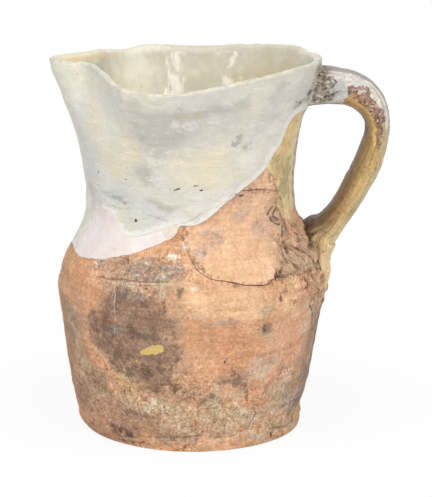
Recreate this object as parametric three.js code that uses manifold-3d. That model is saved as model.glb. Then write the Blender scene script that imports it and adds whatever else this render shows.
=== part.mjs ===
// Handmade earthenware jug, put together again from sherds and plaster.
// Millimetres, +Z up. The origin is the centre of the resting face, the handle
// points along +X and the pouring spout along -X.
//
// The vessel is one thin wall of clay, broken into sherds and made whole with
// plaster. The wall is built first, then cut along its joint lines, so that all
// pieces follow one shape and meet with one joint gap.

import * as THREE from "three";
import { mergeVertices } from "three/addons/utils/BufferGeometryUtils.js";
import Module from "manifold-3d";

// Heights of the vessel
const rimHeight = 240;
const neckHeight = 156; // the narrowest place
const shoulderHeight = 92; // the widest place of the body
const footBandHeight = 10;

// Outer radii of the vessel
const footRadius = 70.8;
const shoulderRadius = 86;
const neckRadius = 66.5;
const rimRadius = 87.3;

// Foot
const footRounding = 1.6;
const footBandGroove = 0.9; // how deep the groove over the band is
const footGrooveRise = 1; // from the band up to the deepest place of the groove
const footGrooveFade = 3.5; // and up to where it has nearly faded out

// Wall thickness
const floorThickness = 9;
const floorFillet = 10;
const floorInset = 1; // the fillet starts this far in from the wall
const bodyWall = 8;
const neckWall = 6;
const rimWall = 5.4;
const lipRise = 2.6; // the rounded lip above the last full wall section

// How far the hand-made shape strays from a true round one
const rimWave = 8; // the rim's deepest dip
const axisWander = 1.6;

// Pouring spout, pinched out of the rim
const spoutReach = 88; // from the axis to the tip
const spoutHalfWidth = 13;
const spoutThroatLength = 22; // from the tip back to where the rim opens out
const spoutNearFlare = 1.5; // how much wider the throat is than the tip, on the near side
const spoutFarFlare = 8; // and on the far side
const spoutHollowDepth = 22; // how far the pinch draws the rim in beside the throat
const spoutDepth = 48; // the pinch fades out this far below the rim
const spoutLip = 3; // and is full from this far below it
const spoutSpread = 62; // degrees from the tip to where the rim is round again

// Strap handle
const handleWidth = 30;
const handleThickness = 16;
const handleTopThickness = 24;
const handleRootThickness = 23;
const handleTopDrop = 17.5; // from the rim down to the middle of the top end
const handleReach = 120; // from the axis to the middle of the strap
const handleRootHeight = 88;
const handleRootWidth = 42;
const handleRootSink = 6.4; // the strap's middle ends this deep in the wall

// The gap left at every glued joint, where the film of adhesive sits
const jointGap = 0.3;

// Fineness of the faceted surfaces
const plainStep = 6; // degrees
const spoutStep = 4.46; // degrees
const jointStep = 3.5; // along a joint line
const strapSides = 16;
const strapRings = 30;
const scarfSteps = 18; // along the joint between the strap and its plaster
const probeRadius = 0.6; // of the small ball that tells the cut bodies apart

const wasm = await Module();
wasm.setup();

const radians = THREE.MathUtils.degToRad;
const mix = THREE.MathUtils.lerp;
const ease = THREE.MathUtils.smoothstep;

// A smooth curve through [place, value] pairs, as a function of place
function curveThrough(pairs) {
  const slope = pairs.map((_, i) => {
    const before = pairs[Math.max(i - 1, 0)];
    const after = pairs[Math.min(i + 1, pairs.length - 1)];
    return (after[1] - before[1]) / (after[0] - before[0]);
  });
  return (place) => {
    const last = pairs.length - 2;
    let i = 0;
    while (i < last && place > pairs[i + 1][0]) i++;
    const [start, low] = pairs[i];
    const [end, high] = pairs[i + 1];
    const span = end - start;
    const t = THREE.MathUtils.clamp((place - start) / span, 0, 1);
    const bend = t * (1 - t) * span * (slope[i] * (1 - t) - slope[i + 1] * t);
    return mix(low, high, t * t * (3 - 2 * t)) + bend;
  };
}

// Closed solids

// A solid from rings of points, each ring level with the next, closed at both ends by a pole
function solidFromRings(rings, firstPole, lastPole) {
  const sides = rings[0].length;
  const points = [firstPole, ...rings.flat(), lastPole];
  const lastIndex = points.length - 1;
  const triangles = [];
  for (let side = 0; side < sides; side++) {
    const next = (side + 1) % sides;
    triangles.push([0, 1 + next, 1 + side]);
    for (let ring = 0; ring < rings.length - 1; ring++) {
      const here = 1 + ring * sides;
      const above = here + sides;
      triangles.push([here + side, here + next, above + next]);
      triangles.push([here + side, above + next, above + side]);
    }
    const top = lastIndex - sides;
    triangles.push([lastIndex, top + side, top + next]);
  }
  return solidFromTriangles(points, triangles);
}

// The triangles may all face in, in which case they are turned round
function solidFromTriangles(points, triangles) {
  const vertProperties = new Float32Array(points.flatMap((p) => p.toArray()));
  const build = (faces) =>
    new wasm.Manifold(
      new wasm.Mesh({ numProp: 3, vertProperties, triVerts: new Uint32Array(faces.flat()) }),
    );
  const solid = build(triangles);
  return solid.volume() > 0 ? solid : build(triangles.map((face) => face.toReversed()));
}

function centreOf(ring) {
  const sum = new THREE.Vector3();
  for (const point of ring) sum.add(point);
  return sum.divideScalar(ring.length);
}

// A sheet as thick as the joint gap, swept between a near and a far edge.
// Each place gives the two edge points and the direction across the sheet.
// Both faces share one diagonal per step, so that a twisted sheet keeps its thickness.
function jointSheet(places) {
  const points = places.flatMap(({ near, far, across }) => {
    const step = across.clone().setLength(jointGap / 2);
    return [
      near.clone().sub(step),
      far.clone().sub(step),
      near.clone().add(step),
      far.clone().add(step),
    ];
  });
  const triangles = [];
  for (let i = 0; i < places.length - 1; i++) {
    const [nearA, farA, nearB, farB, nextNearA, nextFarA, nextNearB, nextFarB] = [
      0, 1, 2, 3, 4, 5, 6, 7,
    ].map((corner) => 4 * i + corner);
    triangles.push([nearA, nextFarA, farA], [nearA, nextNearA, nextFarA]);
    triangles.push([nearB, farB, nextFarB], [nearB, nextFarB, nextNearB]);
    triangles.push([farA, nextFarA, nextFarB], [farA, nextFarB, farB]);
    triangles.push([nearA, nextNearB, nextNearA], [nearA, nearB, nextNearB]);
  }
  const end = points.length - 4;
  triangles.push([0, 1, 3], [0, 3, 2], [end, end + 3, end + 1], [end, end + 2, end + 3]);
  return solidFromTriangles(points, triangles);
}

// Vessel wall

// Heights are also named by course: 0 is the foot, 1 the shoulder, 2 the neck, 3 the rim
const courseHeights = [0, shoulderHeight, neckHeight, rimHeight];

function heightOf(course) {
  const i = Math.min(Math.floor(course), 2);
  return mix(courseHeights[i], courseHeights[i + 1], course - i);
}

// Radius by height. Between two main radii, a share of the height gives a share of the change.
function profileStations() {
  const shoulderTurn = [
    [0.19, 0.09],
    [0.35, 0.27],
    [0.5, 0.57],
    [0.66, 0.83],
    [0.82, 0.965],
  ];
  const flare = [
    [0.17, 0.06],
    [0.36, 0.19],
    [0.55, 0.38],
    [0.72, 0.61],
    [0.86, 0.83],
  ];
  const station = (course, from, to, share) => [heightOf(course), mix(from, to, share)];
  return [
    [0, footRadius],
    station(0.5, footRadius, shoulderRadius, 0.53),
    [shoulderHeight, shoulderRadius],
    ...shoulderTurn.map(([h, r]) => station(1 + h, shoulderRadius, neckRadius, r)),
    [neckHeight, neckRadius],
    ...flare.map(([h, r]) => station(2 + h, neckRadius, rimRadius, r)),
    [rimHeight, rimRadius],
  ];
}
const radiusAt = curveThrough(profileStations());

// The hand-thrown wall wanders a little off its axis
const axisDrift = curveThrough([
  [0, 0],
  [heightOf(0.5), 0.2 * axisWander],
  [heightOf(1.3), axisWander],
  [heightOf(2), 0.3 * axisWander],
  [heightOf(2.5), -0.7 * axisWander],
  [rimHeight, -0.75 * axisWander],
]);

// The rim rises and dips around the mouth: [degrees, share of the deepest dip]
const rimCourse = curveThrough([
  [-180, 0],
  [-163, -0.02],
  [-150, -0.25],
  [-122, -0.62],
  [-106, -0.93],
  [-95, -0.95],
  [-80, -0.48],
  [-58, 0.08],
  [-34, 0.38],
  [0, 0.12],
  [24, -0.3],
  [55, -0.46],
  [85, -0.82],
  [110, -0.72],
  [122, -0.62],
  [150, -0.25],
  [163, -0.02],
  [180, 0],
]);

// The rim seen from above on one side of the spout, from the tip round to the circle
function spoutPlan(throatFlare) {
  const onRim = (share, inset) => {
    const turn = radians(share * spoutSpread);
    return [(rimRadius - inset) * Math.cos(turn), (rimRadius - inset) * Math.sin(turn)];
  };
  return new THREE.CatmullRomCurve3(
    [
      [spoutReach, 0],
      [spoutReach - 0.2 * spoutHalfWidth, 0.6 * spoutHalfWidth],
      [spoutReach - 0.7 * spoutHalfWidth, spoutHalfWidth],
      [spoutReach - spoutThroatLength, spoutHalfWidth + throatFlare],
      onRim(0.5, spoutHollowDepth),
      onRim(0.76, 0.62 * spoutHollowDepth),
      onRim(1, 0),
    ].map(([x, y]) => new THREE.Vector3(x, y, 0)),
    false,
    "centripetal",
  );
}
const nearSpoutSide = spoutPlan(spoutNearFlare);
const farSpoutSide = spoutPlan(spoutFarFlare);

// A point of the outer wall, grown outwards by `grow`. The angle is in degrees from the handle.
function wallPoint(angle, height) {
  const radius = radiusAt(height);
  const turn = radians(angle);
  const point = new THREE.Vector3(radius * Math.cos(turn), radius * Math.sin(turn), height);
  const fromSpout = THREE.MathUtils.euclideanModulo(angle, 360) - 180;
  const pinch = ease(height, rimHeight - spoutDepth, rimHeight - spoutLip);
  if (Math.abs(fromSpout) < spoutSpread && pinch > 0) {
    const side = fromSpout < 0 ? 1 : -1;
    const curve = side > 0 ? farSpoutSide : nearSpoutSide;
    const plan = curve.getPointAt(Math.abs(fromSpout) / spoutSpread);
    const scale = radius / rimRadius;
    point.x = mix(point.x, -plan.x * scale, pinch);
    point.y = mix(point.y, side * plan.y * scale, pinch);
  }
  const rise = rimWave * rimCourse(THREE.MathUtils.euclideanModulo(angle + 180, 360) - 180);
  point.x += axisDrift(height);
  point.z += rise * ease(height, neckHeight, rimHeight);
  return point;
}

function wallNormal(angle, height) {
  const small = 0.5;
  const low = Math.min(height, rimHeight - small) - small;
  const around = wallPoint(angle + small, height).sub(wallPoint(angle - small, height));
  const up = wallPoint(angle, low + 2 * small).sub(wallPoint(angle, low));
  return around.cross(up).normalize();
}

function thicknessAt(height) {
  const upTo = Math.max(height, shoulderHeight);
  return upTo < neckHeight
    ? mix(bodyWall, neckWall, ease(upTo, shoulderHeight, neckHeight))
    : mix(neckWall, rimWall, (upTo - neckHeight) / (rimHeight - neckHeight));
}

// Facets are finer around the spout
function wallAngles() {
  const angles = [];
  const spoutStart = 180 - spoutSpread;
  const spoutCount = Math.round((2 * spoutSpread) / spoutStep);
  for (let i = 0; i < spoutCount; i++) angles.push(spoutStart + (i * 2 * spoutSpread) / spoutCount);
  const plainCount = Math.round((360 - 2 * spoutSpread) / plainStep);
  const plainStart = 180 + spoutSpread;
  for (let i = 0; i < plainCount; i++) {
    angles.push(plainStart + (i * (360 - 2 * spoutSpread)) / plainCount);
  }
  return angles;
}
const angles = wallAngles();

// The height of the last full wall section, under the rounded lip
const wallTop = rimHeight - lipRise;

// Courses of the rings up the wall, from above the foot band to the lip
const wallCourses = [
  0.26, 0.5, 0.75, 0.9, 1, 1.12, 1.24, 1.36, 1.48, 1.6, 1.72, 1.86, 2, 2.18, 2.36, 2.54, 2.7, 2.85,
];
const innerCourses = wallCourses.filter((_, i) => i % 2 === 0);

function footRings() {
  const shrunk = (height, inset) =>
    angles.map((angle) => {
      const turn = radians(angle);
      const radius = radiusAt(height) - inset;
      return new THREE.Vector3(radius * Math.cos(turn), radius * Math.sin(turn), height);
    });
  const rounding = [0, 30, 60, 90].map((degrees) => {
    const height = footRounding * (1 - Math.cos(radians(degrees)));
    return shrunk(height, footRounding * (1 - Math.sin(radians(degrees))));
  });
  return [
    ...rounding,
    shrunk(footBandHeight, 0),
    shrunk(footBandHeight + footGrooveRise, footBandGroove),
    shrunk(footBandHeight + footGrooveFade, 0.2 * footBandGroove),
  ];
}

function outerWallRings(grow = 0) {
  const heights = [...wallCourses.map(heightOf), wallTop];
  return heights.map((height) =>
    angles.map((angle) =>
      wallPoint(angle, height).addScaledVector(wallNormal(angle, height), grow),
    ),
  );
}

// Half an ellipse over the wall, from its outer to its inner edge
function lipRings() {
  return [45, 90, 135].map((degrees) => {
    const turn = radians(degrees);
    return angles.map((angle) => {
      const normal = wallNormal(angle, wallTop);
      const up = wallPoint(angle, rimHeight).sub(wallPoint(angle, wallTop)).normalize();
      return wallPoint(angle, wallTop)
        .addScaledVector(normal, (rimWall / 2) * (Math.cos(turn) - 1))
        .addScaledVector(up, lipRise * Math.sin(turn));
    });
  });
}

function innerWallRings() {
  const heights = [...innerCourses.map(heightOf), wallTop].reverse();
  return heights.map((height) =>
    angles.map((angle) =>
      wallPoint(angle, height).addScaledVector(wallNormal(angle, height), -thicknessAt(height)),
    ),
  );
}

function floorRings(lowestWallRing) {
  const centre = new THREE.Vector3(0, 0, floorThickness);
  const inset = (ring, distance, height) =>
    ring.map((point) => {
      const outward = new THREE.Vector3(point.x, point.y, 0);
      const radius = outward.length() - distance;
      return outward.setLength(radius).setZ(height);
    });
  const fillet = [60, 30, 0].map((degrees) => {
    const turn = radians(degrees);
    const distance = floorInset + floorFillet * (1 - Math.sin(turn));
    return inset(lowestWallRing, distance, floorThickness + floorFillet * (1 - Math.cos(turn)));
  });
  const halfway = fillet[2].map((point) => point.clone().lerp(centre, 0.5));
  return [...fillet, halfway];
}

function makeVessel() {
  const inner = innerWallRings();
  const rings = [
    ...footRings(),
    ...outerWallRings(),
    ...lipRings(),
    ...inner,
    ...floorRings(inner[inner.length - 1]),
  ];
  const underside = new THREE.Vector3(0, 0, 0);
  const floor = new THREE.Vector3(0, 0, floorThickness);
  return solidFromRings(rings, underside, floor);
}

// The vessel's outside as one full solid, grown by the joint gap, to cut the handle's ends
function makeVesselEnvelope() {
  const rings = outerWallRings(jointGap);
  return solidFromRings(rings, centreOf(rings[0]), centreOf(rings[rings.length - 1]));
}

// Joint lines on the wall, as [degrees from the handle, course]

// Joint sheets reach from well inside the wall to well outside it
const innerCut = neckRadius / 2;
const outerCut = rimRadius + shoulderRadius / 4;

function jointLine(points) {
  const curve = new THREE.CatmullRomCurve3(
    points.map(([angle, course]) => new THREE.Vector3(angle, heightOf(course), 0)),
    false,
    "centripetal",
  );
  const steps = Math.max(4, Math.ceil(curve.getLength() / jointStep));
  return curve.getSpacedPoints(steps).map(({ x, y }) => ({ angle: x, height: y }));
}

// The height of a line at an angle, to start another line there
function courseOn(points, angle) {
  const line = jointLine(points);
  let i = 0;
  while (i < line.length - 2 && line[i + 1].angle < angle) i++;
  const share = (angle - line[i].angle) / (line[i + 1].angle - line[i].angle);
  const height = mix(line[i].height, line[i + 1].height, share);
  const course = courseHeights.findIndex((top) => height < top) - 1;
  const low = courseHeights[course];
  return course + (height - low) / (courseHeights[course + 1] - low);
}

function cutAlong(points) {
  const line = jointLine(points);
  const lastIndex = line.length - 1;
  const onWall = ({ angle, height }, radius) => {
    const turn = radians(angle);
    return new THREE.Vector3(radius * Math.cos(turn), radius * Math.sin(turn), height);
  };
  const places = line.map((place, i) => {
    const before = onWall(line[Math.max(i - 1, 0)], neckRadius);
    const after = onWall(line[Math.min(i + 1, lastIndex)], neckRadius);
    const along = after.sub(before).normalize();
    const outward = onWall(place, 1).setZ(0);
    return {
      near: onWall(place, innerCut),
      far: onWall(place, outerCut),
      across: outward.cross(along),
      along,
    };
  });
  // Each end runs on a little, so that it opens into the joint that it meets
  const runOn = 1.5 * jointGap;
  for (const [place, sign] of [[places[0], -1], [places[lastIndex], 1]]) {
    place.near.addScaledVector(place.along, sign * runOn);
    place.far.addScaledVector(place.along, sign * runOn);
  }
  return jointSheet(places);
}

// The lower edge of the plaster neck, from the left tip of the pink fill round the front
const plasterEdgeFront = [
  [-170, 1.445],
  [-166.5, 1.59],
  [-161, 1.665],
  [-156, 1.73],
  [-151.5, 1.865],
  [-146, 1.915],
  [-139, 1.905],
  [-133.5, 1.85],
  [-130.5, 1.755],
  [-125, 1.708],
  [-116.5, 1.727],
  [-108, 1.781],
  [-100, 1.836],
  [-87, 1.853],
  [-81, 1.906],
  [-75, 1.99],
  [-65.5, 2.087],
  [-53, 2.208],
  [-47, 2.274],
  [-43, 2.37],
  [-37, 2.456],
  [-31, 2.62],
  [-25, 2.65],
  [0, 2.625],
  [20, 2.63],
  [27, 2.56],
];

// The same edge at the back, which the photographed side does not show
const plasterEdgeBack = [
  [27, 2.56],
  [33, 2.38],
  [45, 2.14],
  [75, 1.94],
  [110, 1.8],
  [150, 1.625],
  [180, 1.47],
  [190, 1.445],
];

const pinkLowerEdge = [
  [-170, 1.445],
  [-160, 1.425],
  [-148, 1.43],
  [-137, 1.461],
  [-125.5, 1.516],
  [-115, 1.586],
  [-105, 1.677],
  [-97.5, 1.745],
  [-95, courseOn(plasterEdgeFront, -95)],
];

const creamEdge = [
  [-104.5, courseOn(plasterEdgeFront, -104.5)],
  [-100.5, courseOn(pinkLowerEdge, -100.5)],
];

// The long crack under the shoulder sherd and round the root of the handle
const shoulderCrack = [
  [-92.5, courseOn(plasterEdgeFront, -92.5)],
  [-92.3, 1.71],
  [-90, 1.61],
  [-86, 1.453],
  [-80, 1.36],
  [-74, 1.328],
  [-64, 1.281],
  [-55.5, 1.266],
  [-47, 1.3],
  [-27, 1.266],
  [-14, 1.225],
  [-7.5, 1.08],
  [0, 0.93],
  [9, 0.98],
  [21, 1.22],
  [33, 1.43],
  [42, 1.7],
  [45, courseOn(plasterEdgeBack, 45)],
];

const neckCrackEnd = [-34, 2.075];

// From the long crack up the left edge of the glazed strip
const glazeEdge = [
  [-47, courseOn(shoulderCrack, -47)],
  [-44, 1.384],
  [-38, 1.52],
  [-32.5, 1.645],
  [-30, 1.78],
  [-33, 1.95],
  neckCrackEnd,
  [-39.5, 2.18],
  [-46.5, courseOn(plasterEdgeFront, -46.5)],
];

const neckCrack = [neckCrackEnd, [-50, 2.113], [-61.5, courseOn(plasterEdgeFront, -61.5)]];

// Where the neck was made up in two plaster pieces, up through the rim
const aboveRim = 3.4;
const seamByHandle = [[27, 2.56], [27, aboveRim]];
const seamBySpout = [[116, courseOn(plasterEdgeBack, 116)], [116, aboveRim]];

const jointLines = [
  plasterEdgeFront,
  plasterEdgeBack,
  pinkLowerEdge,
  creamEdge,
  shoulderCrack,
  glazeEdge,
  neckCrack,
  seamByHandle,
  seamBySpout,
];

// Handle

// Middle line of the strap in the plane y = 0, from inside the neck wall to the root.
// Each place is a share of the way out to the reach and of the way down to the root.
function handlePath() {
  const topHeight = rimHeight - handleTopDrop;
  const topWall = radiusAt(topHeight);
  const rootWall = radiusAt(handleRootHeight) - handleRootSink;
  const fromTop = (out, down) => [
    mix(topWall, handleReach, out),
    mix(topHeight, handleRootHeight, down),
  ];
  const fromRoot = (out, down) => [
    mix(rootWall, handleReach, out),
    mix(topHeight, handleRootHeight, down),
  ];
  return new THREE.CatmullRomCurve3(
    [
      [topWall - neckWall, topHeight],
      fromTop(0.34, 0),
      fromTop(0.6, 0.017),
      fromTop(0.89, 0.085),
      fromTop(1, 0.193),
      fromTop(0.86, 0.35),
      fromTop(0.6, 0.5),
      fromRoot(0.435, 0.604),
      fromRoot(0.235, 0.681),
      fromRoot(0.08, 0.727),
      fromRoot(0.025, 0.825),
      fromRoot(0.01, 0.91),
      fromRoot(0, 1),
    ].map(([x, z]) => new THREE.Vector3(x, 0, z)),
    false,
    "centripetal",
  );
}
const handleCurve = handlePath();

// Half thickness and half width of the strap by its share of the length
const strapThickness = curveThrough([
  [0, 0.53 * handleTopThickness],
  [0.105, 0.46 * handleTopThickness],
  [0.16, 0.44 * handleTopThickness],
  [0.25, 0.58 * handleThickness],
  [0.325, 0.5 * handleThickness],
  [0.446, 0.5 * handleThickness],
  [0.576, 0.48 * handleThickness],
  [0.667, 0.49 * handleThickness],
  [0.74, 0.4 * handleRootThickness],
  [0.79, 0.56 * handleRootThickness],
  [0.867, 0.445 * handleRootThickness],
  [0.933, 0.46 * handleRootThickness],
  [1, 0.3 * handleRootThickness],
]);
const strapWidth = curveThrough([
  [0, 0.62 * handleWidth],
  [0.15, 0.53 * handleWidth],
  [0.4, 0.5 * handleWidth],
  [0.72, 0.5 * handleWidth],
  [0.88, 0.45 * handleRootWidth],
  [0.95, 0.5 * handleRootWidth],
  [1, 0.4 * handleRootWidth],
]);

function strapFrame(share) {
  const along = handleCurve.getTangentAt(share);
  const outward = new THREE.Vector3(0, 1, 0).cross(along).negate();
  return { middle: handleCurve.getPointAt(share), outward };
}

// A strap section is an oval with flattened faces. Where the strap is free of the wall
// and of its plaster, its two sides run out to a soft ridge.
function strapRing(share) {
  const { middle, outward } = strapFrame(share);
  const free = ease(share, 0.2, 0.36) * (1 - ease(share, 0.76, 0.88));
  const bulge = (value, power) => Math.sign(value) * Math.abs(value) ** power;
  const ring = [];
  for (let side = 0; side < strapSides; side++) {
    const turn = (2 * Math.PI * side) / strapSides;
    const out = bulge(Math.cos(turn), mix(0.75, 1.25, free)) * strapThickness(share);
    const point = middle.clone().addScaledVector(outward, out);
    point.y += bulge(Math.sin(turn), mix(0.75, 0.85, free)) * strapWidth(share);
    ring.push(point);
  }
  return ring;
}

function makeHandle() {
  const rings = [];
  for (let i = 0; i <= strapRings; i++) rings.push(strapRing(i / strapRings));
  const strap = solidFromRings(rings, centreOf(rings[0]), centreOf(rings[strapRings]));
  return strap.subtract(makeVesselEnvelope());
}

// The plaster lies over the broken top of the strap and feathers out along its back.
// Each pair is a share of the strap's length and a place across it, -1 inside to 1 outside.
function handleCut() {
  const line = [
    [0.12, -1.5],
    [0.135, -0.6],
    [0.155, 0],
    [0.19, 0.3],
    [0.25, 0.46],
    [0.32, 0.6],
    [0.385, 0.85],
    [0.44, 1.5],
  ];
  const spots = line.map(([share, across]) => {
    const { middle, outward } = strapFrame(share);
    return middle.addScaledVector(outward, across * strapThickness(share));
  });
  const curve = new THREE.CatmullRomCurve3(spots, false, "centripetal");
  const reach = new THREE.Vector3(0, handleRootWidth, 0);
  const places = [];
  for (let i = 0; i <= scarfSteps; i++) {
    const middle = curve.getPointAt(i / scarfSteps);
    const along = curve.getTangentAt(i / scarfSteps);
    places.push({
      near: middle.clone().sub(reach),
      far: middle.clone().add(reach),
      across: reach.clone().cross(along),
    });
  }
  return jointSheet(places);
}

// Pieces

// The body among `bodies` that holds the point
function bodyAt(bodies, point) {
  const probe = new THREE.IcosahedronGeometry(probeRadius).translate(point.x, point.y, point.z);
  probe.deleteAttribute("normal");
  probe.deleteAttribute("uv");
  const { attributes, index } = mergeVertices(probe);
  const ball = new wasm.Manifold(
    new wasm.Mesh({
      numProp: 3,
      vertProperties: attributes.position.array,
      triVerts: new Uint32Array(index.array),
    }),
  );
  return bodies.find((body) => body.intersect(ball).volume() > 0);
}

function inWall(angle, course) {
  const height = heightOf(course);
  return wallPoint(angle, height).addScaledVector(
    wallNormal(angle, height),
    -thicknessAt(height) / 2,
  );
}

function toMesh(name, solid, material) {
  const { vertProperties, triVerts } = solid.getMesh();
  const geometry = new THREE.BufferGeometry();
  geometry.setAttribute("position", new THREE.BufferAttribute(vertProperties, 3));
  geometry.setIndex(new THREE.BufferAttribute(triVerts, 1));
  geometry.computeVertexNormals();
  const mesh = new THREE.Mesh(geometry, material);
  mesh.name = name;
  return mesh;
}

const matte = (color, roughness) => new THREE.MeshStandardMaterial({ color, roughness, metalness: 0 });
const terracotta = matte("#cf9a76", 0.9);
const paleTerracotta = matte("#e0b893", 0.9);
const oliveGlaze = matte("#b49a66", 0.4);
const greyPlaster = matte("#d2cdbf", 0.55);
const pinkPlaster = matte("#e3d9d2", 0.85);
const creamPlaster = matte("#e6dfcb", 0.8);
const whitePlaster = matte("#cdc3b2", 0.75);

const jug = new THREE.Group();

const vesselBodies = makeVessel()
  .subtract(wasm.Manifold.union(jointLines.map(cutAlong)))
  .decompose();

// Each vessel piece with a place inside it
const vesselPieces = [
  ["lower_body", -60, 0.6, terracotta],
  ["shoulder_sherd", -65, 1.65, paleTerracotta],
  ["small_neck_sherd", -45, 2.17, paleTerracotta],
  ["handle_wall_sherd", 0, 2, oliveGlaze],
  ["neck_restoration_front", -90, 2.5, greyPlaster],
  ["neck_restoration_back", 75, 2.5, greyPlaster],
  ["pink_plaster_fill", -140, 1.7, pinkPlaster],
  ["cream_plaster_fill", -99.5, 1.8, creamPlaster],
];
for (const [name, angle, course, material] of vesselPieces) {
  jug.add(toMesh(name, bodyAt(vesselBodies, inWall(angle, course)), material));
}

const handleBodies = makeHandle().subtract(handleCut()).decompose();
const handlePieces = [
  ["handle_strap", 0.6, 0, oliveGlaze],
  ["handle_top_restoration", 0.1, 0.5, whitePlaster],
];
for (const [name, share, across, material] of handlePieces) {
  const { middle, outward } = strapFrame(share);
  const place = middle.addScaledVector(outward, across * strapThickness(share));
  jug.add(toMesh(name, bodyAt(handleBodies, place), material));
}

export default jug;
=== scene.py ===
# A handmade earthenware jug, put together again from sherds and plaster, in a plain studio.
# Metres, +Z up. The handle points along +X, the pouring spout along -X and the camera looks along +Y.
import math

import bpy
import numpy as np
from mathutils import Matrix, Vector
from mathutils.kdtree import KDTree


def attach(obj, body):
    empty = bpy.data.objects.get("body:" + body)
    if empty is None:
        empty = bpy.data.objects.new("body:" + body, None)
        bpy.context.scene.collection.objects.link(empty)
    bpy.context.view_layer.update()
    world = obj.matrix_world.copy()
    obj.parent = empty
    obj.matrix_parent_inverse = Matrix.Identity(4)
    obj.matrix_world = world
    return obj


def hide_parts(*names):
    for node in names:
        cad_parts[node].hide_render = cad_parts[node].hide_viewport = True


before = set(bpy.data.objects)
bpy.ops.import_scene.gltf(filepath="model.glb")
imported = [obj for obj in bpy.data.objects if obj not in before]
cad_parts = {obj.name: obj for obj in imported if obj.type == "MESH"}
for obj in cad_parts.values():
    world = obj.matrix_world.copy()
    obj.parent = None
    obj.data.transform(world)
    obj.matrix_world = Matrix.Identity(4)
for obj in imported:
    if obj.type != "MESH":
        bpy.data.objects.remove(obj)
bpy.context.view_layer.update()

# Camera, where the photograph was taken from
camera_place = (0.01701, -1.9447, 0.5824)
camera_target = (0.01701, 0.0, 0.11549)
camera_lens = 224.67
camera_sensor = 36

# Heights and outer radii of the vessel
rim_height = 0.240
neck_height = 0.156
shoulder_height = 0.092
foot_radius = 0.0708
shoulder_radius = 0.086
neck_radius = 0.0665
rim_radius = 0.0873

# Foot
foot_rounding = 0.0016
foot_band_height = 0.010
foot_band_groove = 0.0009
foot_groove_by_handle = 0.0021
foot_groove_side = -25.0
worn_foot_depth = 0.0042
worn_foot_height = 0.009
worn_foot_side = -172.0

# Wall
floor_thickness = 0.009
floor_fillet = 0.010
body_wall = 0.008
neck_wall = 0.006
rim_wall = 0.0054
rim_inset_by_handle = 0.0012
lip_rise = 0.0017
lip_drop = 0.0017

# How far the hand-made shape strays from a true round one
rim_wave = 0.008
axis_wander = 0.0016

# Pouring spout
spout_reach = 0.088
spout_half_width = 0.013
spout_throat_length = 0.022
spout_near_flare = 0.0015
spout_far_flare = 0.008
spout_hollow_depth = 0.022
spout_depth = 0.048
spout_spread = 62.0

# Strap handle
handle_width = 0.030
handle_thickness = 0.016
handle_top_thickness = 0.024
handle_root_thickness = 0.023
handle_top_drop = 0.0175
handle_reach = 0.120
handle_root_height = 0.088
handle_root_width = 0.042
handle_root_sink = 0.0064

# Fineness of the modelled surfaces
wall_columns = 480
outer_row = 0.0011
inner_row = 0.0032
strap_rings = 260
strap_sides = 112

# Width of the joints: glued plaster edges hardly show, cracks do
plaster_gap = 0.00006
hairline_gap = 0.00012
edge_shade_reach = 0.005
crack_shade_reach = 0.004
glaze_shade_reach = 0.008


def mix(low, high, share):
    return low + (high - low) * share


def ease(value, low, high):
    share = np.clip((value - low) / (high - low), 0, 1)
    return share * share * (3 - 2 * share)


def hump(value, middle, reach):
    """1 at the middle, falling away smoothly to both sides"""
    return np.exp(-(((value - middle) / reach) ** 2))


def curve_through(pairs):
    """A smooth curve through (place, value) pairs, as a function of an array of places"""
    places, values = np.array(pairs, float).T
    order = np.arange(len(places))
    before, after = np.maximum(order - 1, 0), np.minimum(order + 1, len(places) - 1)
    slopes = (values[after] - values[before]) / (places[after] - places[before])

    def value_at(place):
        i = np.clip(np.searchsorted(places, place) - 1, 0, len(places) - 2)
        span = places[i + 1] - places[i]
        t = np.clip((place - places[i]) / span, 0, 1)
        bend = t * (1 - t) * span * (slopes[i] * (1 - t) - slopes[i + 1] * t)
        return mix(values[i], values[i + 1], t * t * (3 - 2 * t)) + bend

    return value_at


def smooth_line(points, samples=60):
    """A centripetal Catmull-Rom curve through the points, as closely spaced points"""
    points = np.array(points, float)
    ends = [2 * points[0] - points[1]], [2 * points[-1] - points[-2]]
    points = np.concatenate([ends[0], points, ends[1]])
    steps = np.linalg.norm(np.diff(points, axis=0), axis=1) ** 0.5
    t = np.linspace(0, 1, samples, endpoint=False)[:, None]
    spans = []
    for i in range(1, len(points) - 2):
        a, b, c, d = points[i - 1 : i + 3]
        before, here, after = steps[i - 1 : i + 2]
        start = ((b - a) / before - (c - a) / (before + here) + (c - b) / here) * here
        end = ((c - b) / here - (d - b) / (here + after) + (d - c) / after) * here
        spans.append(
            b * (2 * t**3 - 3 * t**2 + 1) + c * (3 * t**2 - 2 * t**3)
            + start * (t**3 - 2 * t**2 + t) + end * (t**3 - t**2)
        )
    return np.concatenate(spans + [points[-2:-1]])


def by_length(line):
    """A line of points as a function of the share of its length"""
    lengths = np.r_[0, np.cumsum(np.linalg.norm(np.diff(line, axis=0), axis=1))]

    def point_at(share):
        at = np.clip(share, 0, 1) * lengths[-1]
        return np.stack([np.interp(at, lengths, column) for column in line.T], axis=-1)

    return point_at, lengths[-1]


# Noise, the same on every run


def lattice_values(cells, seed):
    """A number from -1 to 1 for each whole-number cell"""
    # Large odd numbers stir the bits of the cell's three numbers and of the seed
    x, y, z = (cells[..., i].astype(np.uint64) for i in range(3))
    mixed = x * np.uint64(0x9E3779B1) ^ y * np.uint64(0x85EBCA77) ^ z * np.uint64(0xC2B2AE3D)
    mixed = (mixed + np.uint64(seed * 0x27D4EB2F)) * np.uint64(0x2545F4914F6CDD1D)
    mixed ^= mixed >> np.uint64(31)
    mixed *= np.uint64(0x9E3779B97F4A7C15)
    return (mixed >> np.uint64(40)).astype(float) / 2**23 - 1


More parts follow.
